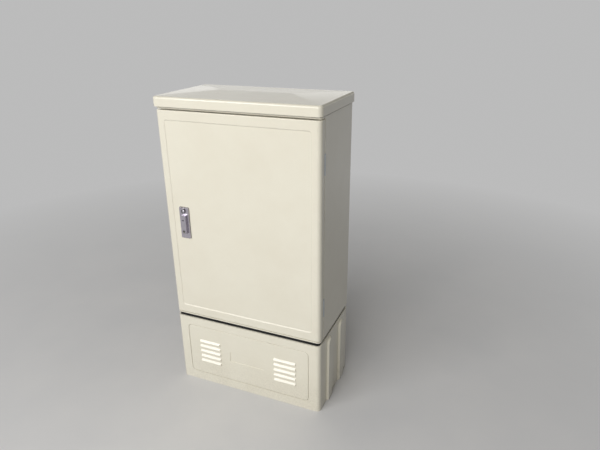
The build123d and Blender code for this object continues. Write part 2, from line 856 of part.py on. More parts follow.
with BuildPart() as door_skin:
    with BuildSketch(Plane.XY.offset(door_bottom_z)) as door_outline:
        with Locations((0, (front_y + door_rear_y) / 2)):
            Rectangle(cabinet_width, door_thickness)
        fillet(door_outline.vertices().group_by(Axis.Y)[0], front_corner_radius)
    extrude(amount=door_height)
    rim_edges = [
        edge
        for end in (0, -1)
        for edge in door_skin.faces().sort_by(Axis.Z)[end].edges()
        if edge.center().Y < door_rear_y - door_wall
    ]
    fillet(rim_edges, door_edge_radius)
    with BuildSketch(Plane.XY.offset(door_bottom_z + door_wall)) as door_hollow:
        with Locations((0, (front_y + door_wall + door_rear_y) / 2)):
            Rectangle(cabinet_width - 2 * door_wall, door_thickness - door_wall)
        fillet(door_hollow.vertices().group_by(Axis.Y)[0], front_corner_radius - door_wall)
    extrude(amount=door_height - 2 * door_wall, mode=Mode.SUBTRACT)
    with BuildSketch(front_plane(front_y)):
        with Locations((0, door_z)):
            RectangleRounded(recess_width, recess_height, recess_radius)
    extrude(amount=-recess_depth, taper=recess_slope, mode=Mode.SUBTRACT)
    with BuildSketch(front_plane(front_y)):
        with Locations((lock_x, spindle_z)):
            Circle(spindle_radius + spindle_way)
        with Locations((lock_x, key_z)):
            Circle(key_radius + spindle_way)
    extrude(amount=-door_wall, mode=Mode.SUBTRACT)
    for z in hinge_places:
        with BuildSketch(Plane.XY.offset(z - hinge_height / 2 - knuckle_notch)):
            with Locations((hinge_x, hinge_y)):
                Circle(knuckle_radius + knuckle_notch)
        extrude(amount=hinge_height + 2 * knuckle_notch, mode=Mode.SUBTRACT)

door_skin.part.label = "door_skin"
export_step(door_skin.part, "parts/door_skin.step")

# Door liner: a moulded panel with a channel for the seal and two framed fields
channel_half = door_gasket_width / 2 + channel_clearance
field_edge = -channel_half
liner_width = cabinet_width - 2 * door_wall - 2 * glue_gap
liner_height = door_height - 2 * door_wall - 2 * glue_gap

# The outline of a framed field, with its lower corner on the hinge side cut off
def bead_outline(low_z, high_z, inside, mode=Mode.ADD):
    Polygon(
        (bead_left + inside, low_z + inside),
        (bead_right - bead_cut, low_z + inside),
        (bead_right - inside, low_z + bead_cut),
        (bead_right - inside, high_z - inside),
        (bead_left + inside, high_z - inside),
        align=None,
        mode=mode,
    )


with BuildPart() as door_liner:
    with BuildSketch(front_plane(door_rear_y)):
        with Locations((0, door_z)):
            Rectangle(liner_width, liner_height)
        seal_outline(channel_half, mode=Mode.SUBTRACT)
    extrude(amount=liner_wall)
    with BuildSketch(front_plane(door_rear_y)):
        seal_outline(channel_half + liner_wall)
        seal_outline(channel_half, mode=Mode.SUBTRACT)
    extrude(amount=channel_depth + liner_wall)
    with BuildSketch(front_plane(channel_floor_y)):
        seal_outline(channel_half + liner_wall)
        seal_outline(field_edge - liner_wall, mode=Mode.SUBTRACT)
    extrude(amount=liner_wall)
    with BuildSketch(front_plane(field_rear_y)):
        seal_outline(field_edge)
        seal_outline(field_edge - liner_wall, mode=Mode.SUBTRACT)
    extrude(amount=channel_depth - field_depth + liner_wall)
    with BuildSketch(front_plane(field_rear_y)):
        seal_outline(field_edge)
    extrude(amount=liner_wall)
    with BuildSketch(front_plane(field_rear_y)):
        for low_z, high_z in (lower_bead_z, upper_bead_z):
            bead_outline(low_z, high_z, 0)
            bead_outline(low_z, high_z, bead_width, mode=Mode.SUBTRACT)
    extrude(amount=-bead_height)
    with BuildSketch(front_plane(field_rear_y)):
        with Locations((lock_x, spindle_z)):
            Circle(spindle_radius + spindle_way)
    extrude(amount=liner_wall, mode=Mode.SUBTRACT)

door_liner.part.label = "door_liner"
export_step(door_liner.part, "parts/door_liner.step")

# Door seal: a rubber strip in the channel, just short of the lip round the opening
with BuildPart() as door_gasket:
    with BuildSketch(front_plane(channel_floor_y)):
        seal_outline(door_gasket_width / 2)
        seal_outline(-door_gasket_width / 2, mode=Mode.SUBTRACT)
    extrude(amount=-(lip_front_y - seal_clearance - channel_floor_y))

door_gasket.part.label = "door_gasket"
export_step(door_gasket.part, "parts/door_gasket.step")

# Record sheets on the inside of the door
with BuildPart() as document_sheets:
    with BuildSketch(front_plane(field_rear_y)):
        for low_z in (sheet_bottom_z, sheet_top_z - sheet_height):
            with Locations((sheet_left, low_z)):
                Rectangle(sheet_right - sheet_left, sheet_height, align=(Align.MIN, Align.MIN))
    extrude(amount=-sheet_thickness)

document_sheets.part.label = "document_sheets"
export_step(document_sheets.part, "parts/document_sheets.step")

# Hinges: two leaves in the seam, with interleaved knuckles on one pin, and the stud for the stay
knuckle_height = (hinge_height - 2 * knuckle_gap) / 3
leaf_cut_x = hinge_x - knuckle_radius - knuckle_notch
frame_leaf_x = opening_width / 2 + seal_lip + leaf_edge_gap
door_leaf_x = seal_width / 2 + channel_half + leaf_edge_gap


# One hinge leaf: a flat plate with screw holes, joined to the knuckles that are its own
def hinge_leaf(z, plate_y, plate_x, knuckles):
    with BuildPart() as leaf:
        with BuildSketch(Plane.XY.offset(z - hinge_height / 2)):
            with Locations((plate_x, plate_y)):
                Rectangle(leaf_cut_x - plate_x, leaf_thickness, align=(Align.MIN, Align.MIN))
        extrude(amount=hinge_height)
        for place in knuckles:
            low_z = z - hinge_height / 2 + place * (knuckle_height + knuckle_gap)
            with BuildSketch(Plane.XY.offset(low_z)):
                with Locations((leaf_cut_x, plate_y)):
                    Rectangle(hinge_x - leaf_cut_x, leaf_thickness, align=(Align.MIN, Align.MIN))
                with Locations((hinge_x, hinge_y)):
                    Circle(knuckle_radius)
                    Circle(hinge_pin_radius + hinge_pin_clearance, mode=Mode.SUBTRACT)
            extrude(amount=knuckle_height)
        with BuildSketch(front_plane(plate_y)):
            for screw_z in (z - leaf_screw_spacing / 2, z + leaf_screw_spacing / 2):
                with Locations(((plate_x + leaf_cut_x) / 2, screw_z)):
                    Circle(leaf_screw_radius)
        extrude(amount=-leaf_thickness, mode=Mode.SUBTRACT)
    return leaf.part


frame_leaves = [
    hinge_leaf(z, body_face_y - leaf_thickness, frame_leaf_x, (0, 2)) for z in hinge_places
]
door_leaves = [hinge_leaf(z, door_rear_y, door_leaf_x, (1,)) for z in hinge_places]

# Stud for the stay, on an angle behind the lower flange
stud_y = body_face_y + front_flange + stud_reach
angle_bottom_z = body_floor_z + sill_thickness
angle_top_z = opening_bottom_z + seal_clearance

with BuildPart() as stay_stud:
    with BuildSketch(Plane.XY.offset(angle_bottom_z)):
        with Locations((stud_x, body_face_y + front_flange)):
            Rectangle(stud_plate_width, stud_plate_thickness, align=(Align.CENTER, Align.MIN))
    extrude(amount=angle_top_z - angle_bottom_z)
    with BuildSketch(Plane.XY.offset(angle_top_z)):
        with Locations((stud_x, body_face_y + front_flange)):
            Rectangle(stud_plate_width, stud_reach + 2 * stud_radius, align=(Align.CENTER, Align.MIN))
    extrude(amount=-stud_plate_thickness)
    with BuildSketch(Plane.XY.offset(angle_top_z)):
        with Locations((stud_x, stud_y)):
            Circle(stud_radius)
    extrude(amount=stay_z + 2 * stay_radius - angle_top_z)

with BuildPart() as frame_fittings:
    add(frame_leaves)
    add(stay_stud.part)

frame_fittings.part.label = "frame_fittings"
export_step(frame_fittings.part, "parts/frame_fittings.step")

with BuildPart() as door_hinge_leaves:
    add(door_leaves)

door_hinge_leaves.part.label = "door_hinge_leaves"
export_step(door_hinge_leaves.part, "parts/door_hinge_leaves.step")

with BuildPart() as hinge_pins:
    for z in hinge_places:
        with BuildSketch(Plane.XY.offset(z - hinge_height / 2)):
            with Locations((hinge_x, hinge_y)):
                Circle(hinge_pin_radius)
        extrude(amount=hinge_height)

hinge_pins.part.label = "hinge_pins"
export_step(hinge_pins.part, "parts/hinge_pins.step")

# Lock plate on the door, with bores for spindle and key and the rivet of the key cover
plate_front_y = recess_face_y - lock_plate_thickness
cover_front_y = plate_front_y - key_cover_gap - key_cover_thickness

with BuildPart() as lock_plate:
    with BuildSketch(front_plane(recess_face_y)):
        with Locations((lock_x, lock_plate_z)):
            RectangleRounded(lock_plate_width, lock_plate_height, lock_plate_radius)
    extrude(amount=lock_plate_thickness)
    chamfer(lock_plate.faces().sort_by(Axis.Y)[0].edges(), lock_plate_radius / 3)
    with BuildSketch(front_plane(plate_front_y)):
        with Locations((lock_x, spindle_z)):
            Circle(spindle_radius + spindle_clearance)
        with Locations((lock_x, key_z)):
            Circle(key_radius + spindle_clearance)
    extrude(amount=-lock_plate_thickness, mode=Mode.SUBTRACT)
    with BuildSketch(front_plane(plate_front_y)):
        with Locations((lock_x, key_rivet_z)):
            Circle(key_rivet_radius)
    extrude(amount=key_cover_thickness + 2 * key_cover_gap)
    with BuildSketch(front_plane(cover_front_y - key_cover_gap)):
        with Locations((lock_x, key_rivet_z)):
            Circle(key_rivet_head_radius)
    extrude(amount=key_rivet_head)

lock_plate.part.label = "lock_plate"
export_step(lock_plate.part, "parts/lock_plate.step")

# Key barrel with its slot
barrel_front_y = plate_front_y - spindle_clearance
barrel_rear_y = recess_face_y + door_wall

with BuildPart() as key_barrel:
    with BuildSketch(front_plane(barrel_front_y)):
        with Locations((lock_x, key_z)):
            Circle(key_radius)
    extrude(amount=-(barrel_rear_y - barrel_front_y))
    with BuildSketch(front_plane(barrel_front_y)):
        with Locations((lock_x, key_z)):
            Rectangle(key_slot_width, key_slot_height)
    extrude(amount=-key_slot_depth, mode=Mode.SUBTRACT)

key_barrel.part.label = "key_barrel"
export_step(key_barrel.part, "parts/key_barrel.step")

# Key cover: a pear-shaped flap that hangs from its rivet
with BuildPart() as key_cover:
    with BuildSketch(front_plane(plate_front_y - key_cover_gap)):
        with Locations((lock_x, key_z)):
            Circle(key_cover_radius)
        with Locations((lock_x, key_rivet_z)):
            Circle(key_rivet_head_radius + key_cover_gap)
        make_hull()
        with Locations((lock_x, key_rivet_z)):
            Circle(key_rivet_radius + screw_clearance, mode=Mode.SUBTRACT)
    extrude(amount=key_cover_thickness)

key_cover.part.label = "key_cover"
export_step(key_cover.part, "parts/key_cover.step")

# Lock housing behind the liner
housing_rear_y = field_rear_y + housing_depth

with BuildPart() as lock_housing:
    with BuildSketch(front_plane(field_rear_y)):
        with Locations((lock_x, housing_z)):
            RectangleRounded(housing_width, housing_height, lock_plate_radius)
        with Locations((lock_x, spindle_z)):
            Circle(spindle_radius + spindle_clearance, mode=Mode.SUBTRACT)
    extrude(amount=-housing_depth)

lock_housing.part.label = "lock_housing"
export_step(lock_housing.part, "parts/lock_housing.step")

# Spindle: the tongue and pin that carry the handle, the shaft, and the cam with its two pins
spindle_front_y = plate_front_y - spindle_clearance
handle_rear_y = plate_front_y - handle_gap
handle_front_y = handle_rear_y - handle_thickness
handle_pivot_y = (handle_rear_y + handle_front_y) / 2
handle_pivot_z = spindle_z - handle_pivot_drop
handle_round = handle_thickness / 2
tongue_front_y = handle_front_y + tongue_clearance
cam_front_y = housing_rear_y + cam_gap
cam_rear_y = cam_front_y + cam_thickness
eye_front_y = cam_rear_y + cam_gap
eye_rear_y = eye_front_y + rod_eye_thickness
cam_pin_offset = cam_pin_circle * math.sin(math.radians(45))

with BuildPart() as lock_spindle:
    with BuildSketch(front_plane(spindle_front_y)):
        with Locations((lock_x, spindle_z)):
            Circle(spindle_radius)
    extrude(amount=-(cam_rear_y - spindle_front_y))
    with BuildSketch(Plane.YZ.offset(lock_x)):
        with Locations((handle_pivot_y, handle_pivot_z)):
            Circle(handle_round - tongue_clearance)
        with Locations((tongue_front_y, handle_pivot_z)):
            Rectangle(
                spindle_front_y + tongue_clearance - tongue_front_y,
                spindle_radius - handle_pivot_drop,
                align=(Align.MIN, Align.MIN),
            )
        with Locations((handle_pivot_y, handle_pivot_z - handle_round + tongue_clearance)):
            Rectangle(
                spindle_front_y + tongue_clearance - handle_pivot_y,
                handle_round - tongue_clearance,
                align=(Align.MIN, Align.MIN),
            )
    extrude(amount=tongue_width / 2, both=True)
    with BuildSketch(Plane.YZ.offset(lock_x)):
        with Locations((handle_pivot_y, handle_pivot_z)):
            Circle(handle_pin_radius)
    extrude(amount=handle_width / 2, both=True)
    with BuildSketch(front_plane(cam_front_y)):
        with Locations(Location((lock_x, spindle_z), 45)):
            SlotOverall(2 * cam_pin_circle + cam_width, cam_width)
        with Locations((lock_x, spindle_z)):
            Circle(cam_pin_circle * 0.7)
    extrude(amount=-cam_thickness)
    with BuildSketch(front_plane(cam_rear_y)):
        for turn in (-1, 1):
            with Locations((lock_x + turn * cam_pin_offset, spindle_z + turn * cam_pin_offset)):
                Circle(cam_pin_radius)
    extrude(amount=-(eye_rear_y + cam_gap - cam_rear_y))

lock_spindle.part.label = "lock_spindle"
export_step(lock_spindle.part, "parts/lock_spindle.step")

# Handle: a lever that lifts on its pin, with a slot for the tongue and a hole for a padlock
handle_length = handle_top_z - handle_pivot_z + handle_round

with BuildPart() as lock_handle:
    with BuildSketch(front_plane(handle_rear_y)):
        with Locations((lock_x, handle_pivot_z - handle_round)):
            Rectangle(handle_width, handle_length, align=(Align.CENTER, Align.MIN))
    extrude(amount=handle_thickness)
    fillet(
        lock_handle.edges().filter_by(Axis.Y).group_by(Axis.Z)[-1],
        handle_width / 3,
    )
    fillet(
        lock_handle.edges().filter_by(Axis.X).group_by(Axis.Z)[0],
        handle_round - screw_clearance,
    )
    with BuildSketch(Plane.YZ.offset(lock_x)):
        with Locations((handle_pivot_y, handle_pivot_z)):
            Circle(handle_pin_radius + handle_pin_clearance)
    extrude(amount=handle_width, both=True, mode=Mode.SUBTRACT)
    with BuildSketch(front_plane(handle_rear_y)):
        with Locations((lock_x, handle_pivot_z - handle_round)):
            Rectangle(
                tongue_width + 2 * tongue_clearance,
                handle_round + spindle_radius + 2 * tongue_clearance,
                align=(Align.CENTER, Align.MIN),
            )
        with Locations((lock_x, handle_grip_hole_z)):
            Circle(handle_grip_hole_radius)
    extrude(amount=handle_thickness, mode=Mode.SUBTRACT)

lock_handle.part.label = "lock_handle"
export_step(lock_handle.part, "parts/lock_handle.step")

# Locking rods: a slotted eye on the cam pin, and a round rod through its guide
rod_y = eye_front_y + rod_radius
eye_slot_near = cam_pin_offset - cam_pin_radius - rod_slot_clearance
eye_slot_far = cam_pin_circle + cam_pin_radius + rod_slot_clearance
eye_slot_half = cam_pin_radius + rod_slot_clearance
rod_offset = (eye_slot_near + eye_slot_far) / 2
eye_width = eye_slot_far - eye_slot_near + 2 * rod_eye_wall
eye_height = 2 * eye_slot_half + 2 * rod_eye_wall + rod_neck


# One rod: side is 1 for the upper one, at the right of the spindle, and -1 for the lower one
def locking_rod(side, tip_z):
    eye_z = spindle_z + side * cam_pin_offset
    start_z = eye_z + side * (eye_slot_half + rod_eye_wall)
    with BuildPart() as rod:
        with BuildSketch(front_plane(eye_front_y)):
            with Locations((lock_x + side * rod_offset, eye_z + side * rod_neck / 2)):
                Rectangle(eye_width, eye_height)
            with Locations((lock_x + side * rod_offset, eye_z)):
                Rectangle(eye_slot_far - eye_slot_near, 2 * eye_slot_half, mode=Mode.SUBTRACT)
        extrude(amount=-rod_eye_thickness)
        with BuildSketch(Plane.XY.offset(start_z)):
            with Locations((lock_x + side * rod_offset, rod_y)):
                Circle(rod_radius)
        extrude(amount=tip_z - start_z)
        ends = rod.faces().sort_by(Axis.Z)
        tip = ends[-1] if side > 0 else ends[0]
        chamfer(tip.edges(), rod_radius / 3)
    return rod.part


upper = locking_rod(1, opening_top_z - rod_tip_gap)
lower = locking_rod(-1, opening_bottom_z + rod_tip_gap)

with BuildPart() as upper_rod:
    add(upper)

upper_rod.part.label = "upper_rod"
export_step(upper_rod.part, "parts/upper_rod.step")

with BuildPart() as lower_rod:
    add(lower)

lower_rod.part.label = "lower_rod"
export_step(lower_rod.part, "parts/lower_rod.step")

# Rod guides: bored blocks on the liner
with BuildPart() as rod_guides:
    for side, z in zip((-1, 1), guide_z):
        guide_x = lock_x + side * rod_offset
        with BuildSketch(Plane.XY.offset(z - guide_height / 2)):
            with Locations((guide_x, field_rear_y)):
                Rectangle(guide_width, rod_y - field_rear_y, align=(Align.CENTER, Align.MIN))
            with Locations((guide_x, rod_y)):
                Circle(rod_radius * 2)
                Circle(rod_radius + rod_clearance, mode=Mode.SUBTRACT)
        extrude(amount=guide_height)

rod_guides.part.label = "rod_guides"
export_step(rod_guides.part, "parts/rod_guides.step")

# Door stay: a rod on a vertical pin, stowed along the bottom of the door
stay_y = hinge_y + stay_y_offset
stay_bracket_z = stay_z - stay_radius - stay_clip_gap

with BuildPart() as wind_hook:
    with BuildSketch(Plane.XY.offset(stay_z - stay_radius)):
        with Locations((stay_x, stay_y)):
            Circle(stay_eye_radius)
            Circle(stay_pin_radius + stay_pin_clearance, mode=Mode.SUBTRACT)
    extrude(amount=2 * stay_radius)
    with BuildSketch(Plane.YZ.offset(stay_x - stay_eye_radius + stay_radius / 2)):
        with Locations((stay_y, stay_z)):
            Circle(stay_radius)
    extrude(amount=-(stay_length - 2 * stay_eye_radius + stay_radius))
    with BuildSketch(Plane.XY.offset(stay_z - stay_radius)):
        with Locations((stay_x - stay_length, stay_y)):
            Circle(stay_eye_radius)
            Circle(stud_radius + stay_clip_gap, mode=Mode.SUBTRACT)
        with Locations((stay_x - stay_length, stay_y)):
            Rectangle(
                2 * (stud_radius + stay_clip_gap),
                stay_eye_radius,
                align=(Align.CENTER, Align.MIN),
                mode=Mode.SUBTRACT,
            )
    extrude(amount=2 * stay_radius)

wind_hook.part.label = "wind_hook"
export_step(wind_hook.part, "parts/wind_hook.step")

# Bracket with the pin of the stay, and the clip that holds the stowed rod
with BuildPart() as hook_brackets:
    with BuildSketch(Plane.YZ.offset(stay_x)):
        with Locations((field_rear_y, stay_bracket_z)):
            Rectangle(stay_bracket_thickness, stay_bracket_height, align=(Align.MIN, Align.MIN))
        with Locations((field_rear_y, stay_bracket_z)):
            Rectangle(
                stay_y + stay_eye_radius - field_rear_y,
                stay_bracket_thickness,
                align=(Align.MIN, Align.MAX),
            )
    extrude(amount=stay_bracket_width / 2, both=True)
    with BuildSketch(Plane.XY.offset(stay_bracket_z)):
        with Locations((stay_x, stay_y)):
            Circle(stay_pin_radius)
    extrude(amount=2 * stay_radius + 2 * stay_bracket_thickness)
    with BuildSketch(Plane.YZ.offset(stay_clip_x)):
        clip_near = stay_radius + stay_clip_gap
        with Locations((field_rear_y, stay_z)):
            Rectangle(
                stay_y + stay_radius - field_rear_y,
                2 * (clip_near + stay_bracket_thickness),
                align=(Align.MIN, Align.CENTER),
            )
        with Locations((stay_y - clip_near, stay_z)):
            Rectangle(
                2 * clip_near + stay_bracket_thickness,
                2 * clip_near,
                align=(Align.MIN, Align.CENTER),
                mode=Mode.SUBTRACT,
            )
    extrude(amount=stay_clip_width / 2, both=True)

hook_brackets.part.label = "hook_brackets"
export_step(hook_brackets.part, "parts/hook_brackets.step")

# Equipment frame: folded steel, with the rear panel, the side cheeks, the reel plate and the shelf
with BuildPart() as equipment_frame:
    with BuildSketch(front_plane(panel_y)):
        with Locations((0, panel_bottom_z)):
            Rectangle(panel_width, panel_top_z - panel_bottom_z, align=(Align.CENTER, Align.MIN))
    extrude(amount=-sheet_steel)
    with BuildSketch(Plane.XY.offset(shelf_z)):
        with Locations((-panel_half, frame_front_y)):
            Rectangle(panel_width, panel_y - frame_front_y, align=(Align.MIN, Align.MIN))
    extrude(amount=sheet_steel)
    with BuildSketch(front_plane(frame_front_y)):
        with Locations((reel_plate_left, shelf_z)):
            Rectangle(
                reel_plate_right - reel_plate_left,
                reel_plate_top_z - shelf_z,
                align=(Align.MIN, Align.MIN),
            )
    extrude(amount=-sheet_steel)
    with BuildSketch(Plane.XY.offset(shelf_z)):
        with Locations((reel_plate_right, frame_front_y)):
            Rectangle(sheet_steel, panel_y - frame_front_y, align=(Align.MAX, Align.MIN))
    extrude(amount=reel_plate_top_z - shelf_z)

equipment_frame.part.label = "equipment_frame"
export_step(equipment_frame.part, "parts/equipment_frame.step")

# Fixing plate: a folded plate under the shelf, with studs for the cable clamps
with BuildPart() as fixing_plate:
    with BuildSketch(Plane.XY.offset(fixing_bottom_z)):
        with Locations((0, frame_front_y)):
            Rectangle(panel_width, sheet_steel, align=(Align.CENTER, Align.MIN))
        for side in (-1, 1):
            with Locations((side * (panel_half - sheet_steel / 2), frame_front_y)):
                Rectangle(sheet_steel, panel_y - frame_front_y, align=(Align.CENTER, Align.MIN))
    extrude(amount=fixing_top_z - fixing_bottom_z)
    with BuildSketch(front_plane(frame_front_y)):
        with Locations((0, fixing_stud_z)):
            with GridLocations(fixing_stud_pitch, 1, fixing_stud_count, 1):
                Circle(fixing_stud_radius)
    extrude(amount=fixing_stud_length)
    with BuildSketch(front_plane(frame_front_y)):
        with Locations((0, fixing_hole_z)):
            with GridLocations(fixing_stud_pitch, 1, fixing_stud_count - 1, 1):
                Circle(fixing_hole_radius)
    extrude(amount=-sheet_steel, mode=Mode.SUBTRACT)
    with BuildSketch(front_plane(frame_front_y)):
        for x in (earth_left + earth_height, earth_right - earth_height):
            with Locations((x, earth_z)):
                Circle(earth_spacer_radius)
    extrude(amount=earth_spacer)

fixing_plate.part.label = "fixing_plate"
export_step(fixing_plate.part, "parts/fixing_plate.step")

# Earthing bar on two spacers, with its clamp bolts
earth_bar_y = frame_front_y - earth_spacer
earth_bolt_pitch = (earth_right - earth_left) / (earth_bolt_count + 1)

with BuildPart() as earth_bar:
    with BuildSketch(front_plane(earth_bar_y)):
        with Locations(((earth_left + earth_right) / 2, earth_z)):
            Rectangle(earth_right - earth_left, earth_height)
    extrude(amount=earth_thickness)
    with BuildSketch(front_plane(earth_bar_y - earth_thickness)):
        with Locations(((earth_left + earth_right) / 2, earth_z)):
            with GridLocations(earth_bolt_pitch, 1, earth_bolt_count, 1):
                RegularPolygon(earth_bolt_radius, 6)
    extrude(amount=earth_bolt_height)

earth_bar.part.label = "earth_bar"
export_step(earth_bar.part, "parts/earth_bar.step")

# Tray module: a moulded case with a ledge on each side for every tray
module_width = module_right - module_left
module_x = (module_right + module_left) / 2
tray_places = [tray_floor_z + tray_pitch * n for n in range(tray_count)]
module_depth = panel_y - module_front_y

with BuildPart() as module_case:
    with BuildSketch(front_plane(module_front_y)):
        with Locations((module_left, module_bottom_z)):
            Rectangle(module_width, module_top_z - module_bottom_z, align=(Align.MIN, Align.MIN))
        with Locations((module_left + module_wall, tray_floor_z)):
            Rectangle(
                module_width - 2 * module_wall,
                module_top_z - module_wall - tray_floor_z,
                align=(Align.MIN, Align.MIN),
                mode=Mode.SUBTRACT,
            )
        with Locations((module_left + module_wall, module_bottom_z + module_wall)):
            Rectangle(
                module_width - 2 * module_wall,
                tray_floor_z - module_bottom_z - 2 * module_wall,
                align=(Align.MIN, Align.MIN),
                mode=Mode.SUBTRACT,
            )
    extrude(amount=-module_depth)
    with BuildSketch(front_plane(panel_y)):
        with Locations((module_left, module_bottom_z)):
            Rectangle(module_width, module_top_z - module_bottom_z, align=(Align.MIN, Align.MIN))
    extrude(amount=module_wall)
    with BuildSketch(front_plane(module_front_y)):
        with Locations((module_left, module_bottom_z)):
            Rectangle(module_width, tray_floor_z - module_bottom_z, align=(Align.MIN, Align.MIN))
    extrude(amount=-module_wall)
    with BuildSketch(front_plane(module_front_y)):
        for z in tray_places:
            for x, edge in (
                (module_left + module_wall, Align.MIN),
                (module_right - module_wall, Align.MAX),
            ):
                with Locations((x, z)):
                    Rectangle(tray_ledge_width, tray_ledge_thickness, align=(edge, Align.MIN))
    extrude(amount=-module_depth)
    with BuildSketch(front_plane(module_front_y)):
        with Locations((module_left, module_bottom_z)):
            Rectangle(module_ear_width, module_ear_height, align=(Align.MAX, Align.MIN))
        with Locations((module_left - module_ear_width / 2, module_bottom_z + module_ear_height / 2)):
            Circle(module_ear_hole_radius, mode=Mode.SUBTRACT)
    extrude(amount=-module_wall)

module_case.part.label = "module_case"
export_step(module_case.part, "parts/module_case.step")

# Trays: closed cassettes with a bay for the adapter strip, a raised cover and a pull tab
tray_left = module_left + module_wall + tray_clearance
tray_right = module_right - module_wall - tray_clearance
tray_front_y = module_front_y - tray_proud
tray_rear_y = panel_y - module_wall - tray_rear_gap
tray_depth = tray_rear_y - tray_front_y
strip_length = adapter_pitch * adapter_count
strip_x = (bay_left + bay_right) / 2
strip_front_y = tray_front_y + adapter_strip_setback
cover_right = tray_right - 2 * latch_margin - latch_slot_width

for number, ledge_z in enumerate(tray_places, start=1):
    tray_z = ledge_z + tray_ledge_thickness + tray_lift
    with BuildPart() as tray:
        with BuildSketch(front_plane(tray_front_y)):
            with Locations((tray_left, tray_z)):
                Rectangle(tray_right - tray_left, tray_height, align=(Align.MIN, Align.MIN))
        extrude(amount=-tray_depth)
        with BuildSketch(front_plane(tray_front_y)):
            with Locations((bay_left, tray_z + bay_floor)):
                Rectangle(bay_right - bay_left, bay_height, align=(Align.MIN, Align.MIN))
        extrude(amount=-bay_depth, mode=Mode.SUBTRACT)
        with BuildSketch(front_plane(tray_front_y)):
            with Locations((bay_right + cover_margin, tray_z + cover_margin)):
                Rectangle(
                    cover_right - bay_right - cover_margin,
                    tray_height - 2 * cover_margin,
                    align=(Align.MIN, Align.MIN),
                )
        extrude(amount=cover_step)
        with BuildSketch(front_plane(tray_front_y)):
            with Locations((tray_right - latch_margin, tray_z + tray_height / 2)):
                Rectangle(
                    latch_slot_width,
                    tray_height - 2 * latch_slot_border,
                    align=(Align.MAX, Align.CENTER),
                )
        extrude(amount=-latch_slot_depth, mode=Mode.SUBTRACT)
        with BuildSketch(front_plane(tray_front_y)):
            with Locations((tray_left, tray_z + tray_height / 2)):
                Rectangle(tab_width, tray_height - 2 * tab_border, align=(Align.MIN, Align.CENTER))
        extrude(amount=tab_proud)
    tray.part.label = f"tray_{number:02d}"
    export_step(tray.part, f"parts/tray_{number:02d}.step")

    with BuildPart() as adapters:
        with BuildSketch(front_plane(strip_front_y)):
            with Locations((strip_x, tray_z + bay_floor + bay_height / 2)):
                Rectangle(strip_length, bay_height)
        extrude(amount=-(bay_depth - adapter_strip_setback))
        with BuildSketch(front_plane(strip_front_y)):
            with Locations((strip_x, tray_z + bay_floor + adapter_foot + adapter_height / 2)):
                with GridLocations(adapter_pitch, 1, adapter_count, 1):
                    Rectangle(adapter_width, adapter_height)
        extrude(amount=adapter_proud)
    adapters.part.label = f"adapters_{number:02d}"
    export_step(adapters.part, f"parts/adapters_{number:02d}.step")

# Parking plugs in the foot of the module
with BuildPart() as parking_plugs:
    with BuildSketch(front_plane(module_front_y)):
        for n in range(plug_count):
            with Locations((plug_first_x + plug_pitch * n, plug_z)):
                Circle(plug_radius)
    extrude(amount=plug_flange)
    with BuildSketch(front_plane(module_front_y - plug_flange)):
        for n in range(plug_count):
            with Locations((plug_first_x + plug_pitch * n, plug_z)):
                Circle(plug_barrel_radius)
    extrude(amount=plug_barrel_length)

parking_plugs.part.label = "parking_plugs"
export_step(parking_plugs.part, "parts/parking_plugs.step")

# Fibre reel: a hub between a full flange and a flange cut into petals
reel_rear_y = frame_front_y
reel_front_y = reel_rear_y - reel_length

with BuildPart() as fibre_reel:
    with BuildSketch(front_plane(reel_rear_y)):
        with Locations((reel_x, reel_z)):
            Circle(reel_outer_radius)
            Circle(reel_hole_radius, mode=Mode.SUBTRACT)
    extrude(amount=reel_flange)
    with BuildSketch(front_plane(reel_rear_y)):
        with Locations((reel_x, reel_z)):
            Circle(reel_hub_radius)
            Circle(reel_hole_radius, mode=Mode.SUBTRACT)
    extrude(amount=reel_length)
    with BuildSketch(front_plane(reel_front_y)):
        with Locations((reel_x, reel_z)):
            Circle(reel_outer_radius)
            with PolarLocations(reel_hub_radius, reel_petals, start_angle=45):
                Rectangle(
                    reel_outer_radius,
                    reel_petal_gap,
                    align=(Align.MIN, Align.CENTER),
                    mode=Mode.SUBTRACT,
                )
            Circle(reel_hub_radius)
            Circle(reel_hole_radius, mode=Mode.SUBTRACT)
    extrude(amount=-reel_flange)

fibre_reel.part.label = "fibre_reel"
export_step(fibre_reel.part, "parts/fibre_reel.step")

# Cable combs: one stands on the shelf, one hangs from the foot of the module
comb_x = comb_left + comb_length / 2
comb_front_y = frame_front_y + comb_thickness

with BuildPart() as cable_combs:
    for edge_z, up in ((shelf_z + sheet_steel, 1), (module_bottom_z, -1)):
        with BuildSketch(front_plane(comb_front_y)):
            with Locations((comb_x, edge_z + up * comb_strip_height / 2)):
                Rectangle(comb_length, comb_strip_height)
            with Locations((comb_x, edge_z + up * (comb_strip_height + comb_tooth_height) / 2)):
                with GridLocations(comb_pitch, 1, comb_teeth, 1):
                    Rectangle(comb_tooth_width, comb_strip_height + comb_tooth_height)
        extrude(amount=comb_thickness)

cable_combs.part.label = "cable_combs"
export_step(cable_combs.part, "parts/cable_combs.step")

# Guide rings on both sides of the module, slit at the front for the cords
with BuildPart() as cable_rings:
    for ring_z in ring_places_z:
        for edge_x, side, length in (
            (module_left, -1, ring_left_length),
            (module_right, 1, ring_right_length),
        ):
            ring_x = edge_x + side * length / 2
            with BuildSketch(Plane.XY.offset(ring_z - ring_height / 2)):
                with Locations((ring_x, ring_y)):
                    RectangleRounded(length, ring_depth, ring_radius)
                    RectangleRounded(
                        length - 2 * ring_wall,
                        ring_depth - 2 * ring_wall,
                        ring_radius - ring_wall,
                        mode=Mode.SUBTRACT,
                    )
                with Locations((ring_x, ring_y - ring_depth / 2)):
                    Rectangle(
                        ring_slit,
                        ring_wall,
                        align=(Align.CENTER, Align.MIN),
                        mode=Mode.SUBTRACT,
                    )
            extrude(amount=ring_height)

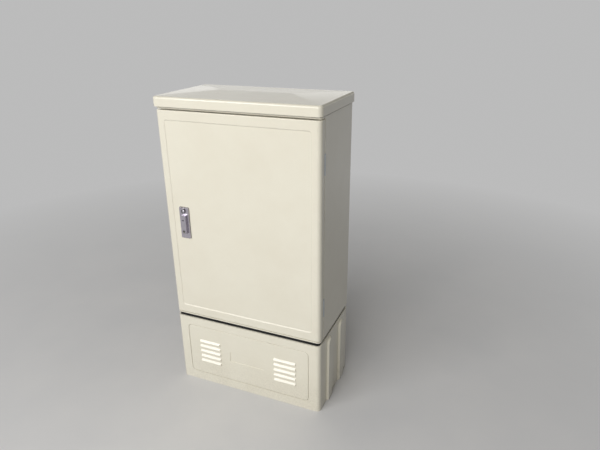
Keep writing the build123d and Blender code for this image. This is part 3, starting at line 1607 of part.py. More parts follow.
cable_rings.part.label = "cable_rings"
export_step(cable_rings.part, "parts/cable_rings.step")
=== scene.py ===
import json
import math

import bmesh
import bpy
from mathutils import Matrix, Vector


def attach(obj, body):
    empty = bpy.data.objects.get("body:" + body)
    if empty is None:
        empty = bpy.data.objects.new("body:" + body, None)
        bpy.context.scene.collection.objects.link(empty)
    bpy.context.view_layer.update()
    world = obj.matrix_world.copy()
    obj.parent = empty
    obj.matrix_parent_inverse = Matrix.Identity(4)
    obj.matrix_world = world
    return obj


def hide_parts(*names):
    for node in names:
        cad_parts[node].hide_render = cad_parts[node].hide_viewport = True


# Roadside cabinet for optical fibre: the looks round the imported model
# Pieces are sized in millimetres, and light, noise and relief in metres
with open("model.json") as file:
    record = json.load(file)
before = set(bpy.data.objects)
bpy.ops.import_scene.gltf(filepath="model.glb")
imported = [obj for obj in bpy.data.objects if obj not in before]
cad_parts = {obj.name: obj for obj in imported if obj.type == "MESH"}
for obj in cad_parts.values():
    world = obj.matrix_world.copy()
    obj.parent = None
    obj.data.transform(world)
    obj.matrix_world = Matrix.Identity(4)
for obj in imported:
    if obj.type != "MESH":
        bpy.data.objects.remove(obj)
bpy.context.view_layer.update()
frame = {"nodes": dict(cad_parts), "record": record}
scene = bpy.context.scene
print("frame loaded:", len(frame["nodes"]), "nodes")


# A point or a size in millimetres, made metres
def mm(x, y, z):
    return Vector((x, y, z)) / 1000


# A colour as a paint card gives it, 0 to 255, made linear
def paint(red, green, blue):
    return tuple(
        (c / 255 / 12.92 if c <= 10 else ((c / 255 + 0.055) / 1.055) ** 2.4) for c in (red, green, blue)
    ) + (1.0,)


# Camera, stood where the photographer stood, with its angles in degrees
cameraLook = {
    "place": (795.0, -1509.2, 1316.8),
    "turn": 23.03,
    "tilt": -22.29,
    "roll": 0.59,
    "lens": 31.09,
    "sensor": 36.0,
}


def makeCamera(look):
    data = bpy.data.cameras.new("camera")
    data.lens = look["lens"]
    data.sensor_width = look["sensor"]
    camera = bpy.data.objects.new("camera", data)
    scene.collection.objects.link(camera)
    turn = (
        Matrix.Rotation(math.radians(look["turn"]), 4, "Z")
        @ Matrix.Rotation(math.radians(look["tilt"]), 4, "X")
        @ Matrix.Rotation(math.radians(look["roll"]), 4, "Y")
        @ Matrix.Rotation(math.radians(90), 4, "X")
    )
    camera.matrix_world = Matrix.Translation(mm(*look["place"])) @ turn
    scene.camera = camera


makeCamera(cameraLook)
scene.view_settings.view_transform = "Standard"


# Short ways to build node trees
def put(tree, kind, sockets=None, **settings):
    node = tree.nodes.new(kind)
    for key, value in settings.items():
        setattr(node, key, value)
    for key, value in (sockets or {}).items():
        if isinstance(value, bpy.types.NodeSocket):
            tree.links.new(value, node.inputs[key])
        else:
            node.inputs[key].default_value = value
    return node


def maths(tree, operation, first, second):
    return put(tree, "ShaderNodeMath", {0: first, 1: second}, operation=operation).outputs[0]


def spread(tree, value, low, high, toLow=0.0, toHigh=1.0):
    sockets = {"Value": value, "From Min": low, "From Max": high, "To Min": toLow, "To Max": toHigh}
    return put(tree, "ShaderNodeMapRange", sockets).outputs["Result"]


def noise(tree, place, **sockets):
    return put(tree, "ShaderNodeTexNoise", {"Vector": place, **sockets}).outputs["Fac"]


def objectPlace(tree):
    return tree.nodes.new("ShaderNodeTexCoord").outputs["Object"]


# Sockets of the Mix node go by number, because its number, vector and colour ones share their names
mixSockets = {"share": 0, "first": 6, "second": 7, "result": 2}


def blendColour(tree, share, first, second):
    sockets = {mixSockets["share"]: share, mixSockets["first"]: first, mixSockets["second"]: second}
    return put(tree, "ShaderNodeMix", sockets, data_type="RGBA").outputs[mixSockets["result"]]


def newGroup(name, ins, outs):
    group = bpy.data.node_groups.new(name, "ShaderNodeTree")
    for label, value in ins.items():
        socket = group.interface.new_socket(name=label, in_out="INPUT", socket_type="NodeSocketFloat")
        socket.default_value = value
    for label in outs:
        group.interface.new_socket(name=label, in_out="OUTPUT", socket_type="NodeSocketFloat")
    return group, group.nodes.new("NodeGroupInput").outputs, group.nodes.new("NodeGroupOutput").inputs


def useGroup(tree, group, **values):
    node = tree.nodes.new("ShaderNodeGroup")
    node.node_tree = group
    for key, value in values.items():
        node.inputs[key].default_value = value
    return node.outputs


# Shared effect: the skin of a pressed moulding, with slow waves and a fine orange peel
skinLook = {
    "peelDetail": 2.0,
    "peelShare": 0.22,
    "waveDetail": 1.0,
    "cloud": {"Scale": 5.5, "Detail": 6.0, "Roughness": 0.62},
    "mottle": (0.34, 0.68),
}


def makeMouldSkin(look):
    group, given, out = newGroup("mouldSkin", {"Peel": 700.0, "Wave": 14.0}, ("Mottle", "Height"))
    place = objectPlace(group)
    peel = noise(group, place, Scale=given["Peel"], Detail=look["peelDetail"])
    wave = noise(group, place, Scale=given["Wave"], Detail=look["waveDetail"])
    cloud = noise(group, place, **look["cloud"])
    group.links.new(spread(group, cloud, *look["mottle"]), out["Mottle"])
    fine = maths(group, "MULTIPLY", peel, look["peelShare"])
    group.links.new(maths(group, "ADD", fine, wave), out["Height"])
    return group


# Shared effect: dust that lies on upward faces and is splashed up from the ground
dustLook = {
    "grit": {"Scale": 260.0, "Detail": 5.0, "Roughness": 0.7},
    "gritSpan": (0.42, 0.66),
    "patch": {"Scale": 11.0, "Detail": 5.0, "Roughness": 0.6},
    "level": (0.72, 0.99),
}


def makeSettledDust(look):
    ins = {"Lies": 0.5, "Splash": 0.5, "Reach": 0.16}
    group, given, out = newGroup("settledDust", ins, ("Mask",))
    place = objectPlace(group)
    normal = group.nodes.new("ShaderNodeNewGeometry").outputs["Normal"]
    upright = put(group, "ShaderNodeSeparateXYZ", {0: normal}).outputs["Z"]
    height = put(group, "ShaderNodeSeparateXYZ", {0: place}).outputs["Z"]
    grit = noise(group, place, **look["grit"])
    patch = noise(group, place, **look["patch"])
    broken = maths(group, "MULTIPLY", spread(group, grit, *look["gritSpan"]), patch)
    lying = maths(group, "MULTIPLY", spread(group, upright, *look["level"]), given["Lies"])
    near = maths(group, "DIVIDE", height, given["Reach"])
    splashed = maths(group, "MULTIPLY", spread(group, near, 1.0, 0.0), given["Splash"])
    both = maths(group, "ADD", lying, splashed)
    group.links.new(maths(group, "MULTIPLY", both, broken), out["Mask"])
    return group


# Shared effect: smudges from hands and a few long fine scratches
marksLook = {
    "smear": {"Detail": 4.0, "Roughness": 0.5, "Distortion": 0.5},
    "smearSpan": (0.38, 0.66),
    "lean": (0.5, 0.35, 0.2),
    "stretch": (9.0, 9.0, 900.0),
    "line": {"Scale": 1.0, "Detail": 1.0},
    "lineSpan": (0.74, 0.79),
    "where": {"Scale": 16.0, "Detail": 2.0},
    "whereSpan": (0.56, 0.64),
}


def makeHandMarks(look):
    group, given, out = newGroup("handMarks", {"Size": 7.0, "Scratches": 0.5}, ("Smudge", "Scratch"))
    place = objectPlace(group)
    smear = noise(group, place, Scale=given["Size"], **look["smear"])
    group.links.new(spread(group, smear, *look["smearSpan"]), out["Smudge"])
    sockets = {"Vector": place, "Rotation": look["lean"], "Scale": look["stretch"]}
    leaning = put(group, "ShaderNodeMapping", sockets).outputs["Vector"]
    thin = spread(group, noise(group, leaning, **look["line"]), *look["lineSpan"])
    here = spread(group, noise(group, place, **look["where"]), *look["whereSpan"])
    cut = maths(group, "MULTIPLY", maths(group, "MULTIPLY", thin, here), given["Scratches"])
    group.links.new(cut, out["Scratch"])
    return group


# Shared effect: edges that handling has rubbed, where the mesh marks its bevels
wearLook = {"chips": {"Detail": 6.0, "Roughness": 0.7}, "span": (0.44, 0.6)}


def makeEdgeWear(look):
    group, given, out = newGroup("edgeWear", {"Size": 45.0, "Amount": 0.6}, ("Mask",))
    edge = put(group, "ShaderNodeAttribute", attribute_name="edge").outputs["Fac"]
    chips = noise(group, objectPlace(group), Scale=given["Size"], **look["chips"])
    rubbed = maths(group, "MULTIPLY", edge, spread(group, chips, *look["span"]))
    group.links.new(maths(group, "MULTIPLY", rubbed, given["Amount"]), out["Mask"])
    return group


# Shared effect: the fine lines that rolling or brushing leaves on metal
grainLook = {
    "line": {"Scale": 1.0, "Detail": 3.0},
    "lineShare": 0.6,
    "cloud": {"Scale": 60.0, "Detail": 4.0},
    "cloudShare": 0.4,
    "streak": (0.36, 0.64),
}


def makeBrushedGrain(look):
    group, given, out = newGroup("brushedGrain", {"Across": 1400.0, "Along": 30.0}, ("Streak", "Height"))
    place = objectPlace(group)
    size = put(group, "ShaderNodeCombineXYZ", {0: given["Across"], 1: given["Across"], 2: given["Along"]})
    drawn = put(group, "ShaderNodeVectorMath", {0: place, 1: size.outputs[0]}, operation="MULTIPLY")
    line = noise(group, drawn.outputs["Vector"], **look["line"])
    cloud = noise(group, place, **look["cloud"])
    lines = maths(group, "MULTIPLY", line, look["lineShare"])
    clouds = maths(group, "MULTIPLY", cloud, look["cloudShare"])
    group.links.new(spread(group, maths(group, "ADD", lines, clouds), *look["streak"]), out["Streak"])
    group.links.new(line, out["Height"])
    return group


mouldSkin = makeMouldSkin(skinLook)
settledDust = makeSettledDust(dustLook)
handMarks = makeHandMarks(marksLook)
edgeWear = makeEdgeWear(wearLook)
brushedGrain = makeBrushedGrain(grainLook)
dustTone = paint(163, 154, 138)
print("shared effects made")


def startMaterial(name, look):
    material = bpy.data.materials.new(name)
    material.use_nodes = True
    material.diffuse_color = look["colour"]
    tree = material.node_tree
    shader = tree.nodes["Principled BSDF"]
    shader.inputs["Base Color"].default_value = look["colour"]
    for key, value in look.get("sockets", {}).items():
        shader.inputs[key].default_value = value
    return material, tree, shader


def addRelief(tree, shader, look, height):
    sockets = {"Height": height, "Strength": look["bump"], "Distance": look["relief"]}
    bump = put(tree, "ShaderNodeBump", sockets)
    tree.links.new(bump.outputs["Normal"], shader.inputs["Normal"])


# What plastics and metals share: rubbed edges, dust, gloss that dust dulls, and relief
def weather(tree, shader, look, colour, smudge, height):
    wear = useGroup(tree, edgeWear, Size=look["chips"], Amount=look["wear"])["Mask"]
    dust = useGroup(tree, settledDust, Lies=look["lies"], Splash=look["splash"], Reach=look["reach"])["Mask"]
    colour = blendColour(tree, wear, colour, look["bare"])
    tree.links.new(blendColour(tree, dust, colour, dustTone), shader.inputs["Base Color"])
    gloss = spread(tree, smudge, 0.0, 1.0, *look["rough"])
    dull = maths(tree, "MULTIPLY", dust, look["dull"])
    tree.links.new(maths(tree, "ADD", gloss, dull), shader.inputs["Roughness"])
    addRelief(tree, shader, look, height)


# Moulded and pressed plastics, from glossy polyester to matt nylon
def mouldedPlastic(name, look):
    material, tree, shader = startMaterial(name, look)
    skin = useGroup(tree, mouldSkin, Peel=look["peel"], Wave=look["wave"])
    marks = useGroup(tree, handMarks, Size=look["smudge"], Scratches=look["scratches"])
    colour = blendColour(tree, skin["Mottle"], look["colour"], look["shade"])
    colour = blendColour(tree, marks["Scratch"], colour, look["bare"])
    weather(tree, shader, look, colour, marks["Smudge"], skin["Height"])
    return material


# Rolled, plated, turned and powder-coated metals
def workedMetal(name, look):
    material, tree, shader = startMaterial(name, look)
    grain = useGroup(tree, brushedGrain, Across=look["across"], Along=look["along"])
    marks = useGroup(tree, handMarks, Size=look["smudge"])
    colour = blendColour(tree, grain["Streak"], look["colour"], look["shade"])
    weather(tree, shader, look, colour, marks["Smudge"], grain["Height"])
    return material


plasticLook = {
    "peel": 700.0,
    "wave": 14.0,
    "bump": 0.12,
    "relief": 0.001,
    "rough": (0.16, 0.3),
    "dull": 0.5,
    "lies": 0.5,
    "splash": 0.0,
    "reach": 0.16,
    "smudge": 7.0,
    "scratches": 0.15,
    "chips": 45.0,
    "wear": 0.25,
}
shellLook = {
    **plasticLook,
    "colour": paint(236, 231, 214),
    "shade": paint(232, 226, 208),
    "bare": paint(246, 243, 233),
    "splash": 0.55,
    "lies": 0.45,
    "bump": 0.1,
    "rough": (0.11, 0.17),
    "sockets": {"Coat Weight": 0.5, "Coat Roughness": 0.05, "IOR": 1.52},
}
linerLook = {
    **plasticLook,
    "colour": paint(222, 219, 202),
    "shade": paint(213, 209, 189),
    "bare": paint(235, 232, 220),
    "bump": 0.16,
    "rough": (0.28, 0.35),
    "sockets": {"Coat Weight": 0.15, "Coat Roughness": 0.2},
}
greenLook = {
    **plasticLook,
    "colour": paint(14, 206, 140),
    "shade": paint(10, 193, 128),
    "bare": paint(96, 214, 164),
    "bump": 0.08,
    "rough": (0.28, 0.4),
    "lies": 0.25,
}
whiteLook = {
    **plasticLook,
    "colour": paint(236, 238, 240),
    "shade": paint(226, 228, 230),
    "bare": paint(246, 246, 246),
    "bump": 0.05,
    "rough": (0.3, 0.42),
    "lies": 0.15,
}
navyLook = {
    **plasticLook,
    "colour": paint(26, 58, 92),
    "shade": paint(20, 46, 78),
    "bare": paint(70, 104, 138),
    "bump": 0.06,
    "rough": (0.3, 0.42),
}
reelLook = {
    **plasticLook,
    "colour": paint(172, 172, 188),
    "shade": paint(160, 160, 178),
    "bare": paint(198, 198, 208),
    "bump": 0.1,
    "rough": (0.34, 0.48),
}
ringLook = {
    **plasticLook,
    "colour": paint(176, 176, 180),
    "shade": paint(160, 160, 166),
    "bare": paint(206, 206, 210),
    "bump": 0.05,
    "rough": (0.2, 0.32),
    "sockets": {"Transmission Weight": 0.35, "IOR": 1.49},
}
combLook = {
    **plasticLook,
    "colour": paint(206, 200, 176),
    "shade": paint(194, 187, 162),
    "bare": paint(222, 218, 200),
    "bump": 0.08,
    "rough": (0.36, 0.5),
}
darkLook = {
    **plasticLook,
    "colour": paint(24, 34, 32),
    "shade": paint(16, 24, 22),
    "bare": paint(52, 60, 58),
    "bump": 0.05,
    "rough": (0.5, 0.65),
}
rubberLook = {
    **plasticLook,
    "colour": paint(19, 19, 19),
    "shade": paint(13, 13, 13),
    "bare": paint(46, 45, 44),
    "peel": 1600.0,
    "bump": 0.3,
    "rough": (0.6, 0.8),
    "lies": 0.35,
    "wear": 0.4,
    "sockets": {"IOR": 1.4},
}
metalLook = {
    "across": 1400.0,
    "along": 30.0,
    "bump": 0.12,
    "relief": 0.0003,
    "rough": (0.28, 0.42),
    "dull": 0.4,
    "lies": 0.35,
    "splash": 0.0,
    "reach": 0.1,
    "smudge": 30.0,
    "chips": 120.0,
    "wear": 0.5,
}
zincLook = {
    **metalLook,
    "colour": paint(188, 192, 194),
    "shade": paint(158, 162, 166),
    "bare": paint(218, 220, 220),
    "sockets": {"Metallic": 1.0},
}
chromeLook = {
    **metalLook,
    "colour": paint(205, 200, 208),
    "shade": paint(192, 187, 197),
    "bare": paint(232, 230, 236),
    "bump": 0.03,
    "rough": (0.12, 0.22),
    "lies": 0.1,
    "sockets": {"Metallic": 1.0},
}
turnedLook = {
    **metalLook,
    "colour": paint(168, 166, 162),
    "shade": paint(146, 144, 141),
    "bare": paint(200, 198, 194),
    "along": 1400.0,
    "rough": (0.25, 0.36),
    "sockets": {"Metallic": 1.0},
}
coatLook = {
    **metalLook,
    "colour": paint(206, 199, 177),
    "shade": paint(200, 192, 169),
    "bare": paint(176, 172, 164),
    "across": 900.0,
    "along": 900.0,
    "bump": 0.3,
    "rough": (0.42, 0.52),
    "wear": 0.35,
}
brassLook = {
    **metalLook,
    "colour": paint(214, 178, 108),
    "shade": paint(190, 150, 82),
    "bare": paint(232, 204, 146),
    "sockets": {"Metallic": 1.0},
}

shellPlastic = mouldedPlastic("creamPolyester", shellLook)
linerPlastic = mouldedPlastic("linerPolyester", linerLook)
greenPlastic = mouldedPlastic("greenPlastic", greenLook)
whitePlastic = mouldedPlastic("whitePlastic", whiteLook)
navyPlastic = mouldedPlastic("navyPlastic", navyLook)
reelPlastic = mouldedPlastic("reelPlastic", reelLook)
ringPlastic = mouldedPlastic("ringPlastic", ringLook)
combPlastic = mouldedPlastic("combPlastic", combLook)
darkPlastic = mouldedPlastic("darkPlastic", darkLook)
blackRubber = mouldedPlastic("blackRubber", rubberLook)
zincSteel = workedMetal("zincSteel", zincLook)
satinChrome = workedMetal("satinChrome", chromeLook)
turnedSteel = workedMetal("turnedSteel", turnedLook)
coatedSteel = workedMetal("coatedSteel", coatLook)
bareBrass = workedMetal("bareBrass", brassLook)

# Printed sheets: ruled rows and columns, with no words in them
paperLook = {
    "colour": paint(236, 236, 252),
    "shade": paint(228, 228, 247),
    "ink": paint(120, 122, 146),
    "inkShare": 0.75,
    "rowPitch": 0.0078,
    "rowLine": 0.07,
    "columnPitch": 0.03,
    "columnLine": 0.0175,
    "columnShift": 0.008,
    "cloud": {"Scale": 18.0, "Detail": 3.0},
    "fibre": {"Scale": 900.0, "Detail": 3.0},
    "bump": 0.1,
    "relief": 0.0003,
    "sockets": {"Roughness": 0.55, "Coat Weight": 0.4, "Coat Roughness": 0.15},
}


def ruledLines(tree, along, pitch, share):
    cell = maths(tree, "FRACT", maths(tree, "DIVIDE", along, pitch), 0.0)
    return maths(tree, "LESS_THAN", cell, share)


def makePaper(look):
    material, tree, shader = startMaterial("printedPaper", look)
    place = objectPlace(tree)
    axes = put(tree, "ShaderNodeSeparateXYZ", {0: place}).outputs
    rows = ruledLines(tree, axes["Z"], look["rowPitch"], look["rowLine"])
    across = maths(tree, "ADD", axes["X"], look["columnShift"])
    columns = ruledLines(tree, across, look["columnPitch"], look["columnLine"])
    ink = maths(tree, "MULTIPLY", maths(tree, "MAXIMUM", rows, columns), look["inkShare"])
    colour = blendColour(tree, noise(tree, place, **look["cloud"]), look["colour"], look["shade"])
    tree.links.new(blendColour(tree, ink, colour, look["ink"]), shader.inputs["Base Color"])
    addRelief(tree, shader, look, noise(tree, place, **look["fibre"]))
    return material


printedPaper = makePaper(paperLook)

# Dust caps take their colour from the mesh
capPlasticLook = {
    "colour": paint(120, 120, 120),
    "darker": 0.86,
    "peel": 1500.0,
    "wave": 120.0,
    "smudge": 90.0,
    "rough": (0.3, 0.48),
    "bump": 0.08,
    "relief": 0.0005,
}


def makeCapPlastic(look):
    material, tree, shader = startMaterial("capPlastic", look)
    tone = put(tree, "ShaderNodeAttribute", attribute_name="tone").outputs["Color"]
    marks = useGroup(tree, handMarks, Size=look["smudge"])
    skin = useGroup(tree, mouldSkin, Peel=look["peel"], Wave=look["wave"])
    shade = put(tree, "ShaderNodeHueSaturation", {"Color": tone, "Value": look["darker"]}).outputs["Color"]
    tree.links.new(blendColour(tree, skin["Mottle"], tone, shade), shader.inputs["Base Color"])
    tree.links.new(spread(tree, marks["Smudge"], 0.0, 1.0, *look["rough"]), shader.inputs["Roughness"])
    addRelief(tree, shader, look, skin["Height"])
    return material


capPlastic = makeCapPlastic(capPlasticLook)
print("materials made:", len(bpy.data.materials))


# A mesh made an object, smooth between its sharp edges
def newPiece(name, mesh, material, sharp):
    mesh.materials.append(material)
    mesh.shade_smooth()
    mesh.set_sharp_from_angle(angle=math.radians(sharp))
    piece = bpy.data.objects.new(name, mesh)
    scene.collection.objects.link(piece)
    weighted = piece.modifiers.new("evenNormals", "WEIGHTED_NORMAL")
    weighted.keep_sharp = True
    return piece


# Every new piece ends here: merged, facing out, and riding on its body
mergeGap = 1e-6


def finishPiece(name, bm, material, body, sharp=35.0):
    bmesh.ops.remove_doubles(bm, verts=bm.verts, dist=mergeGap)
    bmesh.ops.recalc_face_normals(bm, faces=bm.faces)
    mesh = bpy.data.meshes.new(name)
    bm.to_mesh(mesh)
    bm.free()
    piece = newPiece(name, mesh, material, sharp)
    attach(piece, body)
    return piece


bodyOf = {node: body for body, nodes in frame["record"]["behaviour"]["bodies"].items() for node in nodes}

# How hard edges are eased: angles in degrees, the gap in metres, and broad faces in square metres
easeLook = {"gap": 2e-6, "flat": 0.5, "hard": 20.0, "sharp": 62.0, "broad": 0.008}


# A CAD node with its hard edges eased: a merged copy is bevelled, and stands for the node
def easeEdges(nodeName, pieceName, material, width, look):
    bm = bmesh.new()
    bm.from_mesh(frame["nodes"][nodeName].data)
    edgeMark = bm.faces.layers.float.new("edge")
    bmesh.ops.remove_doubles(bm, verts=bm.verts, dist=look["gap"])
    flat = math.radians(look["flat"])
    bmesh.ops.dissolve_limit(bm, angle_limit=flat, verts=bm.verts, edges=bm.edges, delimit={"NORMAL"})
    hard = math.radians(look["hard"])
    hardEdges = [e for e in bm.edges if len(e.link_faces) == 2 and e.calc_face_angle(0.0) > hard]
    made = bmesh.ops.bevel(
        bm,
        geom=hardEdges,
        offset=width / 1000,
        offset_type="OFFSET",
        segments=2,
        profile=0.5,
        affect="EDGES",
        clamp_overlap=True,
        material=-1,
    )
    for face in made["faces"]:
        face[edgeMark] = 1.0
    bm.faces.index_update()
    bm.edges.index_update()
    broad = {face for face in bm.faces if face.calc_area() > look["broad"]}
    ridges = [e.index for e in bm.edges if len(broad.intersection(e.link_faces)) == 2]
    mesh = bpy.data.meshes.new(pieceName)
    bm.to_mesh(mesh)
    bm.free()
    piece = newPiece(pieceName, mesh, material, look["sharp"])
    for ridge in ridges:
        mesh.edges[ridge].use_edge_sharp = True
    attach(piece, bodyOf[nodeName])
    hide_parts(nodeName)
    return piece


# What each node is made of, and how far its edges are eased in millimetres
easedNodes = {
    "base_shell": ("plinthMoulding", shellPlastic, 0.8),
    "base_front_cover": ("plinthCover", shellPlastic, 0.5),
    "body_shell": ("bodyMoulding", shellPlastic, 0.8),
    "roof_cap": ("lidMoulding", shellPlastic, 0.9),
    "door_skin": ("doorPan", shellPlastic, 0.8),
    "door_liner": ("doorLiner", linerPlastic, 0.8),
    "base_gasket": ("plinthSpacer", blackRubber, 0.8),
    "base_bolts": ("plinthBolts", zincSteel, 0.5),
    "base_cover_clips": ("coverClips", zincSteel, 0.2),
    "entry_plate": ("entryPlate", zincSteel, 0.4),
    "entry_grommets": ("entryGrommets", blackRubber, 0.8),
    "frame_fittings": ("frameFittings", zincSteel, 0.25),
    "door_hinge_leaves": ("doorHinges", zincSteel, 0.25),
    "hinge_pins": ("hingePins", turnedSteel, 0.3),
    "roof_screws": ("lidScrews", zincSteel, 0.4),
    "lock_plate": ("lockPlate", satinChrome, 0.4),
    "key_barrel": ("keyBarrel", satinChrome, 0.25),
    "key_cover": ("keyCover", satinChrome, 0.5),
    "lock_handle": ("lockHandle", satinChrome, 0.7),
    "lock_spindle": ("lockSpindle", turnedSteel, 0.3),
    "lock_housing": ("lockHousing", zincSteel, 0.8),
    "upper_rod": ("upperRod", zincSteel, 0.4),
    "lower_rod": ("lowerRod", zincSteel, 0.4),
    "rod_guides": ("rodGuides", ringPlastic, 0.6),
    "wind_hook": ("stayRod", zincSteel, 0.5),
    "hook_brackets": ("stayBrackets", zincSteel, 0.3),
    "equipment_frame": ("equipmentFrame", coatedSteel, 0.4),
    "fixing_plate": ("fixingPlate", coatedSteel, 0.4),
    "earth_bar": ("earthBar", bareBrass, 0.4),
    "module_case": ("moduleCase", greenPlastic, 0.4),
    "parking_plugs": ("parkingPlugs", navyPlastic, 0.5),
    "fibre_reel": ("fibreReel", reelPlastic, 0.6),
    "cable_combs": ("cordCombs", combPlastic, 0.4),
    "cable_rings": ("cordRings", ringPlastic, 0.8),
}

# The trays stand one above the other, and the first is the lowest
trayLook = {"count": 12, "firstZ": 645.3, "pitch": 28.0}
for number in range(1, trayLook["count"] + 1):
    easedNodes[f"tray_{number:02d}"] = (f"tray{number:02d}", greenPlastic, 0.5)
    easedNodes[f"adapters_{number:02d}"] = (f"adapterStrip{number:02d}", whitePlastic, 0.4)

for nodeName, (pieceName, material, width) in easedNodes.items():
    easeEdges(nodeName, pieceName, material, width, easeLook)
sheets = frame["nodes"]["document_sheets"]
sheets.data.materials.clear()
sheets.data.materials.append(printedPaper)
print("nodes dressed:", len(easedNodes) + 1)


# Loops and strips that the pieces below are made of
def edgesOf(verts):
    return list(dict.fromkeys(edge for vert in verts for edge in vert.link_edges))


def joinLoops(bm, loops):
    for near, far in zip(loops, loops[1:]):
        bmesh.ops.bridge_loops(bm, edges=near + far)


def pushStrip(bm, strip, step):
    made = bmesh.ops.extrude_edge_only(bm, edges=strip)["geom"]
    verts = [g for g in made if isinstance(g, bmesh.types.BMVert)]
    bmesh.ops.translate(bm, verts=verts, vec=Vector(step) / 1000)
    fresh = set(verts)
    return [g for g in made if isinstance(g, bmesh.types.BMEdge) and fresh.issuperset(g.verts)]


def turnStrip(bm, strip, centre, steps=6):
    verts = list(dict.fromkeys(vert for edge in strip for vert in edge.verts))
    made = bmesh.ops.spin(
        bm, geom=verts + strip, cent=mm(*centre), axis=(0, 1, 0), angle=math.radians(-90), steps=steps
    )
    return [g for g in made["geom_last"] if isinstance(g, bmesh.types.BMEdge)]


# Points of an arc, by its centre, its two radii and angles in degrees
def arc(centre, radii, angles):
    turns = [math.radians(angle) for angle in angles]
    return [(centre[0] + radii[0] * math.cos(t), centre[1] + radii[1] * math.sin(t)) for t in turns]


# A strip whose profile runs once round a rounded rectangle that faces the front
def sweepRound(bm, look):
    x, z = look["centre"]
    half, high, corner = look["width"] / 2, look["height"] / 2, look["corner"]
    first = [bm.verts.new(mm(x, y, z - high - out)) for out, y in look["profile"]]
    strip = [bm.edges.new(pair) for pair in zip(first, first[1:] + first[:1])]
    straight, upright = half - corner, high - corner
    strip = pushStrip(bm, strip, (straight, 0, 0))
    strip = turnStrip(bm, strip, (x + straight, 0, z - upright))
    strip = pushStrip(bm, strip, (0, 0, 2 * upright))
    strip = turnStrip(bm, strip, (x + straight, 0, z + upright))
    strip = pushStrip(bm, strip, (-2 * straight, 0, 0))
    strip = turnStrip(bm, strip, (x - straight, 0, z + upright))
    strip = pushStrip(bm, strip, (0, 0, -2 * upright))
    strip = turnStrip(bm, strip, (x - straight, 0, z - upright))
    pushStrip(bm, strip, (straight, 0, 0))


# The frame at a place whose Z axis points the given way
def spotAt(place, facing):
    return Matrix.Translation(mm(*place)) @ Vector(facing).to_track_quat("Z", "Y").to_matrix().to_4x4()


# A turned shape: radii and heights along an axis, spun once round it
def turnShape(bm, place, facing, profile, segments=32):
    spot = spotAt(place, facing)
    verts = [bm.verts.new(spot @ mm(radius, 0, along)) for radius, along in profile]
    strip = [bm.edges.new(pair) for pair in zip(verts, verts[1:])]
    axis = spot.to_3x3() @ Vector((0, 0, 1))
    bmesh.ops.spin(
        bm,
        geom=verts + strip,
        cent=mm(*place),
        axis=axis,
        angle=math.radians(360),
        steps=segments,
        use_merge=True,
    )


# A pan-head screw with a cross recess, in shares of its radius and height
screwLook = {
    "head": ((1.0, 0.0), (1.0, 0.45), (0.9, 0.8), (0.72, 1.0)),
    "sides": 24,
    "arm": 0.5,
    "halfArm": 0.11,
    "recess": ((1.0, 1.0), (0.7, 0.45)),
}


def addScrew(bm, look, place, facing, radius, height):
    spot = spotAt(place, facing)
    loops = []
    for share, rise in look["head"]:
        lift = spot @ Matrix.Translation(mm(0, 0, rise * height))
        ring = bmesh.ops.create_circle(bm, segments=look["sides"], radius=share * radius / 1000, matrix=lift)
        loops.append(edgesOf(ring["verts"]))
    arm, half = look["arm"] * radius, look["halfArm"] * radius
    middle = (arm + half) / 2
    quarter = [(arm, 0), (arm, half), (middle, half), (half, half), (half, middle), (half, arm)]
    for share, rise in look["recess"]:
        verts = []
        for turn in range(4):
            swing = Matrix.Rotation(math.radians(90 * turn), 4, "Z")
            for x, y in quarter:
                verts.append(bm.verts.new(spot @ swing @ mm(x * share, y * share, rise * height)))
        loops.append([bm.edges.new(pair) for pair in zip(verts, verts[1:] + verts[:1])])
    joinLoops(bm, loops)
    bmesh.ops.edgeloop_fill(bm, edges=loops[-1])


# Screws, by what they hold: a hinge leaf has one 22 mm above its middle and one 22 mm below it
hingeScrewZ = [hinge + side for hinge in (413.0, 901.0) for side in (-22.0, 22.0)]
screwSets = {
    "frameHingeScrews": {
        "body": "cabinet",
        "facing": (0, -1, 0),
        "radius": 1.9,
        "height": 0.9,
        "places": [(271.0, -116.0, z) for z in hingeScrewZ],
    },
    "doorHingeScrews": {
        "body": "door",
        "facing": (0, 1, 0),
        "radius": 1.9,
        "height": 0.9,
        "places": [(272.4, -118.4, z) for z in hingeScrewZ],
    },
    "housingScrews": {
        "body": "door",
        "facing": (0, 1, 0),
        "radius": 2.8,
        "height": 1.4,
        "places": [(x, -110.1, z) for x in (-236.0, -184.0) for z in (612.0, 668.0)],
    },
    "bracketScrews": {
        "body": "door",
        "facing": (0, 1, 0),
        "radius": 2.2,
        "height": 1.2,
        "places": [(x, -122.1, 330.5) for x in (173.0, 183.0)],
    },
    "entryScrews": {
        "body": "cabinet",
        "facing": (0, 0, 1),
        "radius": 3.4,
        "height": 2.0,
        "places": [(x, y, 294.9) for x in (-197.5, -66.0, 66.0, 197.5) for y in (-82.5, 92.5)],
    },
    "panelScrews": {
        "body": "cabinet",
        "facing": (0, -1, 0),
        "radius": 5.0,
        "height": 2.8,
        "places": [(x, 118.1, z) for x in (-205.0, 205.0) for z in (395.0, 960.0)],
    },
    "reelScrews": {
        "body": "cabinet",
        "facing": (0, -1, 0),
        "radius": 2.8,
        "height": 1.5,
        "places": [(x, -42.9, z) for x in (-236.0, -168.0) for z in (498.0, 566.0)],
    },
}


def makeScrews(name, look):
    bm = bmesh.new()
    for place in look["places"]:
        addScrew(bm, screwLook, place, look["facing"], look["radius"], look["height"])
    finishPiece(name, bm, zincSteel, look["body"])


for setName, screwSet in screwSets.items():
    makeScrews(setName, screwSet)
print("screws made")

